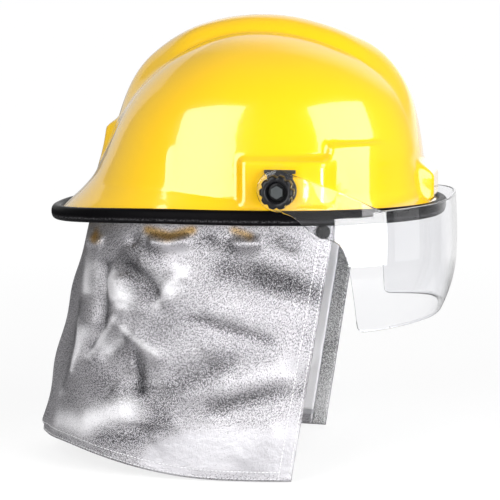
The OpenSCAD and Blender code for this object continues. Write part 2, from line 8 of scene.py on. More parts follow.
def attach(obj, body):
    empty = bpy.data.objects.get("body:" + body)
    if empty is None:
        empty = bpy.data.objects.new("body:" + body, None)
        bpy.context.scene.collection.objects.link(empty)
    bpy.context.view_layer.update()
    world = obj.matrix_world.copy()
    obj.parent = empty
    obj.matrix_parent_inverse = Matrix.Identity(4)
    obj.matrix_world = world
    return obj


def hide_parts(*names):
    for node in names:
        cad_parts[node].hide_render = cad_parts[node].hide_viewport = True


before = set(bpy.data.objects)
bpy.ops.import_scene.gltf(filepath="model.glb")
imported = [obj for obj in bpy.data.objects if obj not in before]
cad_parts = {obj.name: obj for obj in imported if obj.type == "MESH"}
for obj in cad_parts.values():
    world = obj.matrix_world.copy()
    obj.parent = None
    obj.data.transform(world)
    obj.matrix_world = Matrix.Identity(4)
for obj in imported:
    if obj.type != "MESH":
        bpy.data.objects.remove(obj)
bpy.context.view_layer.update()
MM = 0.001

# ------------------------------------------------------------------ camera
TH, EL, DIST = math.radians(9), math.radians(7.5), 1950.0
TARGET = np.array([0.0, 0.0, -42.0])
LOOK = np.array([math.cos(TH) * math.cos(EL), math.sin(TH) * math.cos(EL), -math.sin(EL)])
RIGHT = np.array([math.sin(TH), -math.cos(TH), 0.0])
UPV = np.cross(RIGHT, LOOK)
CAM = TARGET - LOOK * DIST
FOC = 1.17 * DIST


def pix(p):
    """Where points (mm) fall in the 500 x 500 frame."""
    d = np.asarray(p, float) - CAM
    z = d @ LOOK
    return 250 + FOC * (d @ RIGHT) / z, 250 - FOC * (d @ UPV) / z


cam_data = bpy.data.cameras.new("camera")
cam = bpy.data.objects.new("camera", cam_data)
bpy.context.scene.collection.objects.link(cam)
cam_data.sensor_width = 36.0
cam_data.lens = 36.0 * FOC / 500.0
cam_data.clip_start, cam_data.clip_end = 0.05, 50.0
cam.matrix_world = Matrix((
    (RIGHT[0], UPV[0], -LOOK[0], CAM[0] * MM),
    (RIGHT[1], UPV[1], -LOOK[1], CAM[1] * MM),
    (RIGHT[2], UPV[2], -LOOK[2], CAM[2] * MM),
    (0, 0, 0, 1)))
bpy.context.scene.camera = cam

# ------------------------------------------------------------------ helpers
LV = np.array([
    [0, -163, 164.7, 114.4], [3, -160, 159.5, 114.3], [8, -153.5, 152, 114.2],
    [15, -150.5, 141.5, 114.1], [24, -149, 132, 113.9], [36, -147.5, 125.5, 113.5],
    [50, -146, 119, 112.5], [65, -143, 112, 110], [80, -138, 104, 105.5],
    [94, -131, 94.5, 99], [106, -121.5, 84, 91], [117, -109.5, 72, 81],
    [126, -96.5, 60, 70], [133, -82.5, 48.5, 59], [138.5, -68.5, 37, 48.5],
    [143, -53.5, 24.5, 37], [146.3, -39, 11.5, 25], [148, -25, -1.5, 12.5],
    [148.5, -12, -12, 0]], float)
NL = len(LV) - 1
EXP = 2 / 2.25
WALL = 3.0
CREST_H, CREST_W, STEP = 11.0, 31.0, 2.2
PIV = np.array([0.0, -43.0, 22.5])


def ss(a, b, x):
    t = np.clip((np.asarray(x, float) - a) / (b - a), 0, 1)
    return t * t * (3 - 2 * t)


def spow(x, e):
    return np.sign(x) * np.abs(x) ** e


def unit(v):
    n = np.linalg.norm(v, axis=-1, keepdims=True)
    return v / np.where(n < 1e-9, 1, n)


def lrow(k):
    k = np.asarray(k, float)
    i = np.clip(np.floor(k).astype(int), 0, NL - 1)
    t = (k - i)[..., None]
    p1, p2 = LV[i], LV[i + 1]
    p0 = np.where((i > 0)[..., None], LV[np.maximum(i - 1, 0)], 2 * p1 - p2)
    p3 = np.where((i < NL - 1)[..., None], LV[np.minimum(i + 2, NL)], 2 * p2 - p1)
    return 0.5 * (2 * p1 + (p2 - p0) * t + (2 * p0 - 5 * p1 + 4 * p2 - p3) * t * t
                  + (3 * p1 - p0 - 3 * p2 + p3) * t ** 3)


def corner_z(y):
    return 14 + 7 * np.clip((y + 5) / 50, 0, 1)


def flare(z, y):
    c, w = corner_z(y), 1.1
    d = c - z
    return 9.6 / (c - 5) * np.where(d < -w, 0, np.where(d > w, np.minimum(d, c - 5), (np.clip(d, -w, w) + w) ** 2 / (4 * w)))


def base(k, a):
    """Smooth dome and brim; k is the row, a the angle in degrees."""
    k, a = np.broadcast_arrays(np.asarray(k, float), np.asarray(a, float))
    r = lrow(k)
    z = r[..., 0]
    yc = -12 * ss(60, 148.5, z)
    c, s = np.cos(np.radians(a)), np.sin(np.radians(a))
    y = yc + np.where(s > 0, r[..., 2] - yc, yc - r[..., 1]) * spow(s, EXP)
    x = (r[..., 3] + flare(z, y)) * spow(c, EXP)
    d = np.clip((y - 30) / 135, 0, 1)
    return np.stack([x, y, z - 8 * d * d * (1 - ss(0, 28, z))], -1)


def bnrm(k, a):
    k, a = np.broadcast_arrays(np.asarray(k, float), np.asarray(a, float))
    kk = np.minimum(k, NL - 0.11)
    n = unit(np.cross(base(kk, a + 2) - base(kk, a - 2), base(kk + 0.1, a) - base(kk - 0.1, a)))
    top = (k >= NL - 0.01)[..., None]
    return np.where(top, np.array([0, 0, 1.0]), n)


def crest(p):
    g = np.degrees(np.arctan2(p[..., 2] - 20, -(p[..., 1] + 12)))
    g = np.where(g < -90, g + 360, g)
    q = np.clip(np.abs(p[..., 0]) / CREST_W, 0, 1)
    t = np.maximum(ss(112, 136, g), 1 - ss(40, 62, g))
    prof = (1 - t) * (1 - q ** 5) + t * (1 - q * q) ** 1.6
    return (CREST_H + 2.5 * ss(95, 125, g)) * ss(14, 52, g) * (1 - ss(132, 170, g)) * prof


def crest_dir(p):
    v = np.stack([0 * p[..., 0], p[..., 1] + 12, p[..., 2] - 20], -1)
    return unit(v)


def pmask(p, y1, w, z1, h, y2):
    y, z = p[..., 1], p[..., 2]
    return (1 - ss(y1 - w, y1 + w, y)) * (1 - ss(z1 - h, z1 + h, z)) * ss(y2 - 22, y2, y)


def side_push(p):
    y = p[..., 1]
    return STEP * np.clip((p[..., 2] - 5) / (corner_z(y) - 5), 0, 1) * (
        0.5 * pmask(p, 97.5, 27.5, 50, 9, -74) * ss(-84, -74, y) * (1 + np.clip((y - 46) / 5, 0, 1))
        + 3 * pmask(p, -79.5, 5, 58, 2.4 + 2.0 * ss(-94, -82, y), -110))


def pad(p):
    y, z = p[..., 1], p[..., 2]
    e = 1.6 * (1 - ss(-80, -70, y))
    return (1 - ss(-12.8, -7.4, y)) * ss(-88, -76, y) * (1 - ss(44.2 - e, 49.2 + e, z)) * ss(3, 12, z)


def surf(k, a):
    p = base(k, a)
    s = np.where(p[..., 0] < 0, -1.0, 1.0)
    q = p + crest_dir(p) * crest(p)[..., None]
    q[..., 0] += s * side_push(p) * ss(40, 75, np.abs(p[..., 0]))
    seat = 1 - ss(16.5, 23, np.hypot(q[..., 1] - PIV[1], q[..., 2] - PIV[2]))
    side = np.abs(p[..., 0]) > 80
    w, v = np.where(side, seat, 0), np.where(side, pad(q), 0)
    x = q[..., 0] * (1 - v) + s * (118.8 + 0.04 * (q[..., 1] + 43) - 0.13 * np.maximum(0, -59.5 - q[..., 1])) * v
    x = x * (1 - w) + s * 118.8 * w
    y, z = q[..., 1], q[..., 2]
    f = (1 - ss(22, 32, np.abs(x))) * (1 - ss(25, 41, z)) * ss(4, 9, z) * (y < 0)
    r = (1 - ss(15, 22, np.abs(x))) * (1 - ss(62, 73, z)) * ss(22, 30, z) * (y > 0)
    y = y * (1 - f) - 158.4 * f + r * (np.clip((z - 28) / 40, 0, 1) * 8 + 0.6)
    return np.stack([x, y, z], -1)


def ofs(k, a, d):
    return surf(k, a) - bnrm(k, a) * d


def grid_faces(nr, nc, wrap=False, start=0):
    """Quads of nr rows of nc points each, outward for rows going up and points going counter-clockwise."""
    f = []
    m = nc if wrap else nc - 1
    for r in range(nr - 1):
        for c in range(m):
            d = (c + 1) % nc
            f.append((start + r * nc + c, start + r * nc + d, start + (r + 1) * nc + d, start + (r + 1) * nc + c))
    return f


def mesh_obj(name, verts, faces, mat, body="helmet", smooth=True, sharp=None, nodes=(), scale=MM):
    me = bpy.data.meshes.new(name)
    me.from_pydata((np.asarray(verts, float) * scale).tolist(), [], faces)
    me.validate()
    me.update()
    o = bpy.data.objects.new(name, me)
    bpy.context.scene.collection.objects.link(o)
    finish_obj(o, mat, body, smooth, sharp, nodes)
    return o


def finish_obj(o, mat, body="helmet", smooth=True, sharp=None, nodes=()):
    me = o.data
    mats = mat if isinstance(mat, (list, tuple)) else [mat]
    if len(me.materials) == 0:
        for m in mats:
            me.materials.append(m)
    me.polygons.foreach_set("use_smooth", [bool(smooth)] * len(me.polygons))
    if smooth and sharp:
        me.set_sharp_from_angle(angle=math.radians(sharp))
    if body:
        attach(o, body)
    if nodes:
        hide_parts(*nodes)


def outward(o):
    """Makes a closed mesh's faces point outwards."""
    bm = bmesh.new()
    bm.from_mesh(o.data)
    bmesh.ops.recalc_face_normals(bm, faces=bm.faces)
    bm.to_mesh(o.data)
    bm.free()


# ------------------------------------------------------------------ materials
class Nodes:
    """Small helper round a material's node tree."""

    def __init__(self, name):
        self.m = bpy.data.materials.new(name)
        self.m.use_nodes = True
        self.t = self.m.node_tree
        self.p = self.t.nodes["Principled BSDF"]
        self.out = self.t.nodes["Material Output"]
        self.co = self.t.nodes.new("ShaderNodeTexCoord").outputs["Object"]

    def n(self, kind, **kw):
        x = self.t.nodes.new("ShaderNode" + kind)
        for k, v in kw.items():
            setattr(x, k, v)
        return x

    def link(self, a, b):
        self.t.links.new(a, b)

    def attr(self, name):
        return self.n("Attribute", attribute_name=name).outputs["Fac"]

    def uv(self):
        return self.n("UVMap", uv_map="uv").outputs["UV"]

    def val(self, sock, v):
        if hasattr(v, "is_linked") or hasattr(v, "links"):
            self.link(v, sock)
        else:
            sock.default_value = v

    def noise(self, scale, detail=3.0, rough=0.5, dist=0.0, co=None, stretch=None):
        x = self.n("TexNoise")
        x.inputs["Scale"].default_value = scale
        x.inputs["Detail"].default_value = detail
        x.inputs["Roughness"].default_value = rough
        x.inputs["Distortion"].default_value = dist
        co = co or self.co
        if stretch:
            mp = self.n("Mapping")
            mp.inputs["Scale"].default_value = stretch
            self.link(co, mp.inputs["Vector"])
            co = mp.outputs["Vector"]
        self.link(co, x.inputs["Vector"])
        return x.outputs["Fac"]

    def ramp(self, fac, stops):
        r = self.n("ValToRGB")
        cr = r.color_ramp
        while len(cr.elements) < len(stops):
            cr.elements.new(0.5)
        for e, (pos, col) in zip(cr.elements, stops):
            e.position = pos
            e.color = (col, col, col, 1) if isinstance(col, (int, float)) else (*col, 1)
        self.link(fac, r.inputs["Fac"])
        return r.outputs["Color"]

    def rng(self, fac, a, b, c, d, clamp=True):
        r = self.n("MapRange", clamp=clamp)
        for i, v in zip(("From Min", "From Max", "To Min", "To Max"), (a, b, c, d)):
            r.inputs[i].default_value = v
        self.link(fac, r.inputs["Value"])
        return r.outputs["Result"]

    def math(self, op, a, b=0.0, c=None):
        x = self.n("Math", operation=op)
        self.val(x.inputs[0], a)
        self.val(x.inputs[1], b)
        if c is not None:
            self.val(x.inputs[2], c)
        return x.outputs[0]

    def mix(self, fac, a, b, mode="MIX"):
        x = self.n("Mix", data_type="RGBA", blend_type=mode)
        self.val(x.inputs[0], fac)
        for s, v in ((x.inputs[6], a), (x.inputs[7], b)):
            if isinstance(v, tuple):
                s.default_value = (*v, 1)
            else:
                self.link(v, s)
        return x.outputs[2]

    def bump(self, height, strength, dist, normal=None):
        b = self.n("Bump")
        b.inputs["Strength"].default_value = strength
        b.inputs["Distance"].default_value = dist
        self.link(height, b.inputs["Height"])
        if normal is not None:
            self.link(normal, b.inputs["Normal"])
        return b.outputs["Normal"]

    def set(self, **kw):
        names = {"base": "Base Color", "rough": "Roughness", "metal": "Metallic", "ior": "IOR", "coat": "Coat Weight",
                 "coat_rough": "Coat Roughness", "sheen": "Sheen Weight", "sheen_rough": "Sheen Roughness", "normal": "Normal",
                 "trans": "Transmission Weight", "spec": "Specular IOR Level", "aniso": "Anisotropic", "coat_normal": "Coat Normal",
                 "sub": "Subsurface Weight"}
        for k, v in kw.items():
            s = self.p.inputs[names[k]]
            if isinstance(v, tuple):
                s.default_value = (*v, 1)
            elif isinstance(v, (int, float)):
                s.default_value = v
            else:
                self.link(v, s)
        return self.m


def moulded(name, col, col2, rough, grain=900, depth=0.00012, spread=0.08, coat=0.0, metal=0.0):
    """Moulded plastic: fine grain, faint flow clouds, and rubbed spots."""
    g = Nodes(name)
    big, fine = g.noise(38, 4), g.noise(grain, 3, 0.6)
    scuff = g.noise(260, 5, 0.65, stretch=(1.0, 1.0, 0.25))
    colr = g.mix(g.ramp(big, [(0.3, 0.0), (0.75, 1.0)]), col, col2)
    r = g.math("ADD", g.rng(scuff, 0.35, 0.75, rough - spread * 0.5, rough + spread), g.rng(fine, 0.2, 0.8, -0.02, 0.02))
    return g.set(base=colr, rough=r, metal=metal, coat=coat, coat_rough=0.12, normal=g.bump(fine, 0.35, depth))


def yellow_shell():
    g = Nodes("shell_gloss_yellow")
    big, mid = g.noise(7.0, 3), g.noise(55, 4)
    peel, dust = g.noise(190, 2, 0.45), g.noise(1400, 2)
    colr = g.mix(g.ramp(big, [(0.3, 0.0), (0.7, 1.0)]), (0.895, 0.528, 0.0046), (0.910, 0.555, 0.0060))
    scr = g.noise(420, 5, 0.7, stretch=(0.3, 1.0, 1.8))
    r = g.math("ADD", g.rng(mid, 0.3, 0.7, 0.16, 0.22), g.rng(scr, 0.66, 0.80, 0.0, 0.06))
    nrm = g.bump(peel, 0.10, 0.0004)
    fine = g.bump(dust, 0.03, 0.0001, nrm)
    g.p.inputs["Coat IOR"].default_value = 1.6
    return g.set(base=colr, rough=r, coat=1.0, coat_rough=0.03, ior=1.5, normal=fine, coat_normal=nrm)


def inner_shell():
    g = Nodes("shell_inner_yellow")
    big, fine = g.noise(30, 4), g.noise(700, 3)
    colr = g.mix(g.ramp(big, [(0.3, 0.0), (0.7, 1.0)]), (0.80, 0.50, 0.012), (0.88, 0.58, 0.02))
    return g.set(base=colr, rough=g.rng(fine, 0.2, 0.8, 0.38, 0.5), normal=g.bump(fine, 0.3, 0.0002))


def rubber_trim():
    g = Nodes("trim_rubber")
    big, fine, mid = g.noise(20, 4), g.noise(1300, 3), g.noise(240, 4)
    line, across = g.attr("line"), g.noise(820, 2, 0.7)
    fleck = g.math("MULTIPLY", line, g.ramp(across, [(0.44, 0.0), (0.60, 1.0)]))
    colr = g.mix(g.ramp(big, [(0.3, 0.0), (0.7, 1.0)]), (0.0028, 0.0026, 0.0031), (0.0042, 0.0040, 0.0046))
    colr = g.mix(g.math("MULTIPLY", fleck, 0.5), colr, (0.16, 0.155, 0.165))
    r = g.math("ADD", g.rng(mid, 0.3, 0.7, 0.26, 0.36), g.math("MULTIPLY", line, 0.16))
    h = g.math("ADD", g.math("MULTIPLY", fine, 0.5), g.math("MULTIPLY", fleck, 0.9))
    return g.set(base=colr, rough=r, normal=g.bump(h, 0.35, 0.00022), spec=0.022)


def clear_visor():
    g = Nodes("visor_clear")
    smear, hair = g.noise(26, 4, 0.6), g.noise(600, 4, 0.7, stretch=(1, 1, 0.12))
    tint = g.mix(g.ramp(smear, [(0.3, 0.0), (0.8, 1.0)]), (0.955, 0.956, 0.968), (0.925, 0.927, 0.943))
    r = g.math("ADD", g.rng(smear, 0.4, 0.75, 0.008, 0.022), g.rng(hair, 0.70, 0.85, 0.0, 0.03))
    g.set(base=tint, rough=r, trans=1.0, ior=1.49, normal=g.bump(smear, 0.02, 0.0006), coat=0.0, coat_rough=0.02)
    g.p.inputs["Coat IOR"].default_value = 1.52
    tr = g.n("BsdfTransparent")
    tr.inputs["Color"].default_value = (0.90, 0.92, 0.93, 1)
    lp, mx = g.n("LightPath"), g.n("MixShader")
    g.link(lp.outputs["Is Shadow Ray"], mx.inputs["Fac"])
    g.link(g.p.outputs["BSDF"], mx.inputs[1])
    g.link(tr.outputs["BSDF"], mx.inputs[2])
    g.link(mx.outputs["Shader"], g.out.inputs["Surface"])
    return g.m


def metal(name, col, col2, rough, turned=False):
    g = Nodes(name)
    big, br = g.noise(60, 4), g.noise(1500, 3, 0.6, stretch=(1, 1, 1) if not turned else (0.15, 1, 1))
    colr = g.mix(g.ramp(big, [(0.3, 0.0), (0.7, 1.0)]), col, col2)
    return g.set(base=colr, rough=g.rng(br, 0.2, 0.8, rough - 0.08, rough + 0.1), metal=1.0, normal=g.bump(br, 0.25, 0.00008))


M_YELLOW, M_INNER, M_RUBBER, M_VISOR = yellow_shell(), inner_shell(), rubber_trim(), clear_visor()
M_BLACK = moulded("black_plastic", (0.018, 0.018, 0.020), (0.026, 0.026, 0.029), 0.36)
M_KNOB = moulded("knob_plastic", (0.0055, 0.0055, 0.0065), (0.009, 0.009, 0.0105), 0.30, grain=1200, depth=0.00006, coat=0.12)
M_KNOB.node_tree.nodes["Principled BSDF"].inputs["Specular IOR Level"].default_value = 0.22
M_BAND = moulded("band_plastic", (0.030, 0.030, 0.033), (0.045, 0.045, 0.048), 0.42)
M_BOLT = moulded("bolt_steel", (0.050, 0.056, 0.057), (0.075, 0.082, 0.083), 0.38, grain=1600, depth=0.00008, metal=0.6)
M_STEEL = metal("steel", (0.55, 0.56, 0.58), (0.68, 0.69, 0.71), 0.3, True)
M_FIBRE = moulded("fibre_washer", (0.06, 0.05, 0.045), (0.09, 0.075, 0.06), 0.7)
M_ACETAL = moulded("acetal", (0.62, 0.58, 0.48), (0.70, 0.66, 0.56), 0.4)
M_RED = moulded("button_red", (0.50, 0.025, 0.012), (0.60, 0.035, 0.016), 0.26, coat=0.3)

# ------------------------------------------------------------------ shell
def build_shell():
    nc = 560
    per = 7
    ks = np.concatenate([np.linspace(i, i + 1, per, endpoint=False) for i in range(NL)])
    a = np.arange(nc) * 360.0 / nc
    outer = surf(ks[:, None], a[None, :])
    ki = np.array([0, 1, 2, 3, 4, 5, 6, 6.6, 7.2, 8, 9, 10, 11, 12, 13, 14, 15, 16, 17.0])
    inner = ofs(ki[:, None], a[None, :], WALL)
    no, ni = len(ks), len(ki)
    v = np.concatenate([outer.reshape(-1, 3), surf(np.array([NL * 1.0]), np.array([0.0])).reshape(1, 3),
                        inner.reshape(-1, 3), ofs(np.array([NL * 1.0]), np.array([0.0]), WALL).reshape(1, 3)])
    f = grid_faces(no, nc, True)
    pole = no * nc
    f += [((no - 1) * nc + c, (no - 1) * nc + (c + 1) % nc, pole) for c in range(nc)]
    s = pole + 1
    g = [tuple(reversed(q)) for q in grid_faces(ni, nc, True, s)]
    g += [(s + (ni - 1) * nc + (c + 1) % nc, s + (ni - 1) * nc + c, s + ni * nc) for c in range(nc)]
    rim = [((c + 1) % nc, c, s + c, s + (c + 1) % nc) for c in range(nc)]
    o = mesh_obj("shell_moulding", v, f + g + rim, [M_YELLOW, M_INNER], sharp=70, nodes=["shell"])
    idx = np.zeros(len(o.data.polygons), int)
    idx[len(f):len(f) + len(g)] = 1
    o.data.polygons.foreach_set("material_index", idx.tolist())
    return o


def chaikin(pts, times=2):
    p = np.asarray(pts, float)
    for _ in range(times):
        q = np.roll(p, -1, 0)
        p = np.stack([0.75 * p + 0.25 * q, 0.25 * p + 0.75 * q], 1).reshape(-1, p.shape[1])
    return p


def edge_frame(a):
    p = base(0, a)
    t = base(0, a + 1) - base(0, a - 1)
    n = unit(np.stack([t[..., 1], -t[..., 0], 0 * t[..., 0]], -1))
    return p, n


def build_trim():
    nc = 420
    a = np.arange(nc) * 360.0 / nc
    p, n = edge_frame(a)
    prof = chaikin([[-4.4, -3], [-3.2, -6.1], [1.6, -6.3], [4.4, -4.1], [5.1, 0], [4.4, 4.1], [1.6, 6.3], [-2.6, 5.9], [-4.4, 3]], 2)
    m = len(prof)
    line = np.exp(-((prof[:, 1] + 2.6) / 0.75) ** 2) * (prof[:, 0] > 2)
    prof = prof - np.stack([line * 0.16, 0 * line], -1)
    v = p[:, None, :] + n[:, None, :] * (prof[None, :, 0:1] * 9.6 / 9.4 - 0.4)
    v[..., 2] += prof[None, :, 1]
    f = []
    for i in range(nc):
        j = (i + 1) % nc
        for q in range(m):
            r = (q + 1) % m
            f.append((i * m + q, j * m + q, j * m + r, i * m + r))
    o = mesh_obj("edge_trim_strip", v.reshape(-1, 3), f, M_RUBBER, nodes=["edge_trim"])
    outward(o)
    at = o.data.attributes.new("line", "FLOAT", "POINT")
    at.data.foreach_set("value", np.tile(line, nc).astype(np.float32))
    return o


build_shell()
build_trim()

# ------------------------------------------------------------------ visor
EAR_X, V_T, VA_, VBW_, VN_ = 128.6, 2.0, 175.5, 130.0, 2 / 2.9
VB = np.array([[-46, 5], [-55, 2], [-62, -4], [-74, -13.5], [-84, -16.5], [-92, -21.5], [-97, -31], [-100, -44],
               [-103, -58], [-106.2, -70], [-110, -81.5], [-113.5, -89], [-118.5, -92.2], [-130, -91.8], [-148, -90],
               [-166, -88], [-180, -87]], float)


def crease_z(y):
    return np.where(y > -120, -3.5 + 0.16 * (-62 - y), 5.78 + 0.07 * (-120 - y))


def arm_top(y):
    return 35.4 + 0.425 * (y + 56) + 1.5 * np.sin(np.pi * np.clip((-56 - y) / 68, 0, 1))


def vis_s(z):
    up = 1 - 0.012 * (np.maximum(z + 32, 0) / 46) ** 2
    lo = 1 - 0.062 * (np.maximum(-32 - z, 0) / 54) ** 2.4
    return np.where(z > -32, up, lo)


def vplan(t, z):
    """Plan curve of the visor; t in degrees from the side (0) to the middle (90)."""
    y0 = -VA_ * spow(np.sin(np.radians(t)), VN_)
    x0 = VBW_ * spow(np.maximum(np.cos(np.radians(t)), 0), VN_)
    s, f = vis_s(z), ss(-46, -62, y0)
    lean = 0.26 * ss(-68, -94, y0) * np.maximum(0, z - crease_z(y0))
    x = EAR_X * (1 - f) + f * np.minimum(x0 * (1 - (1 - s) * 0.45) - lean, EAR_X + 2)
    return np.stack([x, y0 * s], -1)


def vis_pt(t, z, d):
    """t to 90 on the +X side, past 90 mirrored."""
    t, z, d = np.broadcast_arrays(t, z, d)
    m = t > 90
    tt = np.where(m, 180 - t, t)
    p = vplan(tt, z)
    g = vplan(np.minimum(tt + 0.4, 90), z) - vplan(tt - 0.4, z)
    n = unit(np.stack([-g[..., 1], g[..., 0]], -1))
    mid = tt > 89.9
    n = np.where(mid[..., None], np.array([0.0, -1.0]), n)
    x = np.where(mid, 0, p[..., 0] - n[..., 0] * d)
    y = p[..., 1] - n[..., 1] * d
    return np.stack([np.where(m, -x, x), y, z + 0 * y], -1)


def smooth_line(pts, n=12):
    """Catmull-Rom through points, n steps each."""
    p = np.asarray(pts, float)
    q = np.vstack([2 * p[0] - p[1], p, 2 * p[-1] - p[-2]])
    out = []
    for i in range(1, len(q) - 2):
        t = (np.arange(n) / n)[:, None]
        a, b, c, d = q[i - 1], q[i], q[i + 1], q[i + 2]
        out.append(0.5 * (2 * b + (c - a) * t + (2 * a - 5 * b + 4 * c - d) * t * t + (3 * b - a - 3 * c + d) * t ** 3))
    out.append(p[-1:])
    return np.vstack(out)


def build_visor():
    ear = 17.0
    low = smooth_line(VB, 10)
    order = np.argsort(low[:, 0])
    ly, lz = low[order, 0], low[order, 1]

    def zbot(y):
        c = PIV[2] - np.sqrt(np.maximum(ear ** 2 - (y - PIV[1]) ** 2, 0))
        return np.where(y > -46.0, c, np.interp(y, ly, lz))

    def ztop(y):
        c = PIV[2] + np.sqrt(np.maximum(ear ** 2 - (y - PIV[1]) ** 2, 0))
        a = np.minimum(arm_top(y), 35.3 + 0 * y)
        return np.where(y > -54.0, c, np.maximum(crease_z(y), a))

    ph = np.linspace(3, 130, 26)
    y1 = PIV[1] + ear * np.cos(np.radians(ph))
    y1 = y1[y1 > -53.5]
    yc = np.concatenate([y1, np.linspace(-55, -92, 26), np.linspace(-93, -121, 44), np.linspace(-123, -150, 20)])
    t1 = np.degrees(np.arcsin((-yc / VA_) ** (1 / VN_)))
    t2 = np.linspace(t1[-1], 90, 26)[1:]
    t = np.concatenate([t1, t2])
    t = np.concatenate([t, 180 - t[-2::-1]])
    y = -VA_ * spow(np.sin(np.radians(np.where(t > 90, 180 - t, t))), VN_)
    zb, zt = zbot(y), ztop(y)
    h = zt - zb
    zc = np.clip(crease_z(y), zb + 0.04 * h, zt - 0.04 * h)
    n1, n2 = 26, 13
    r1, r2 = np.linspace(0, 1, n1), np.linspace(0, 1, n2)[1:]
    e = 0.7
    zz = np.concatenate([(zb + e)[:, None] + (zc - zb - e)[:, None] * r1, zc[:, None] + (zt - e - zc)[:, None] * r2], 1)
    cap = np.array([(0.25, 0.25), (0.0, 0.75), (0.0, 1.25), (0.25, 1.75)])
    ring_z = [zz[:, i] for i in range(zz.shape[1])]
    ring_d = [0 * y for _ in range(zz.shape[1])]
    for c, d in cap:
        ring_z.append(zt - c), ring_d.append(0 * y + d)
    for i in range(zz.shape[1] - 1, -1, -1):
        ring_z.append(zz[:, i]), ring_d.append(0 * y + V_T)
    for c, d in cap[::-1]:
        ring_z.append(zb + c), ring_d.append(0 * y + d)
    Z, D = np.stack(ring_z, 1), np.stack(ring_d, 1)
    P = vis_pt(t[:, None] + 0 * Z, Z, D)
    nt, m = P.shape[0], P.shape[1]
    f = []
    for i in range(nt - 1):
        for q in range(m):
            r = (q + 1) % m
            f.append((i * m + q, i * m + r, (i + 1) * m + r, (i + 1) * m + q))
    k = zz.shape[1]
    for i, flip in ((0, False), (nt - 1, True)):
        o = i * m
        loop = [o + q for q in range(m)]
        for q in range(k - 1):
            a, b = o + q, o + q + 1
            c, d = o + (2 * k + 3 - q - 1), o + (2 * k + 3 - q)
            f.append((a, b, c, d) if not flip else (d, c, b, a))
        top = [o + k - 1, o + k, o + k + 1, o + k + 2, o + k + 3, o + k + 4]
        bot = [o + 2 * k + 3, o + 2 * k + 4, o + 2 * k + 5, o + 2 * k + 6, o + 2 * k + 7, o]
        f.append(tuple(top) if not flip else tuple(reversed(top)))
        f.append(tuple(bot) if not flip else tuple(reversed(bot)))
    ob = mesh_obj("visor_shield", P.reshape(-1, 3), f, M_VISOR, body="visor", sharp=50, nodes=["visor"])
    outward(ob)
    return ob


build_visor()

# ------------------------------------------------------------------ neck curtain
CE = 2 / 2.3


def cur_pt(u, v, d=0.0):
    """Point of the hanging curtain; u from the +X front edge round the back to the -X front edge, v down."""
    u, v = np.broadcast_arrays(np.asarray(u, float), np.asarray(v, float))
    q = np.abs(2 * u - 1)
    zb = -197 - 19 * ss(0.3, 0.85, q)
    z = 2 + (zb - 2) * v
    fr = np.where(z > -13, 84.0, 84 - 0.158 * (-13 - z))
    w = np.degrees(np.arcsin((fr / 150) ** 1.15))
    a = np.radians(-w + (180 + 2 * w) * u)
    b = 111.9 + 0.03 * np.maximum(0, -z)
    R = np.where(np.sin(a) > 0, 136 + 0.23 * np.maximum(0, -15 - z), 150.0)
    x, y = b * spow(np.cos(a), CE), R * spow(np.sin(a), CE)
    n = unit(np.stack([(np.abs(x) / b) ** 1.3 * np.sign(x) / b, (np.abs(y) / R) ** 1.3 * np.sign(y) / R, 0 * x], -1))
    p = np.stack([x, y, z], -1) - n * np.asarray(d, float)[..., None]
    return p, n


def line_field(X, Y, pts, amp, width, kind="soft", ends=(0.2, 0.2)):
    """Fold along a line of frame points: amp in mm at its middle, width in frame pixels."""
    pts = np.asarray(pts, float)
    seg = np.diff(pts, axis=0)
    ln = np.hypot(seg[:, 0], seg[:, 1])
    tot, acc = ln.sum(), 0.0
    best = np.full(X.shape, 1e9)
    along = np.zeros(X.shape)
    for i in range(len(seg)):
        t = ((X - pts[i, 0]) * seg[i, 0] + (Y - pts[i, 1]) * seg[i, 1]) / ln[i] ** 2
        tc = np.clip(t, 0, 1)
        d = np.hypot(X - pts[i, 0] - tc * seg[i, 0], Y - pts[i, 1] - tc * seg[i, 1])
        near = d < best
        best = np.where(near, d, best)
        along = np.where(near, (acc + tc * ln[i]) / tot, along)
        acc += ln[i]
    taper = 1.0 if ends is None else ss(0, ends[0], along) * (1 - ss(1 - ends[1], 1, along))
    if kind == "soft":
        prof = np.exp(-(best / width) ** 2)
    else:
        prof = np.exp(-np.maximum(np.sqrt(best ** 2 + 1.2) - 1.1, 0) / width)
    return amp * (0.15 + 0.85 * taper) * prof


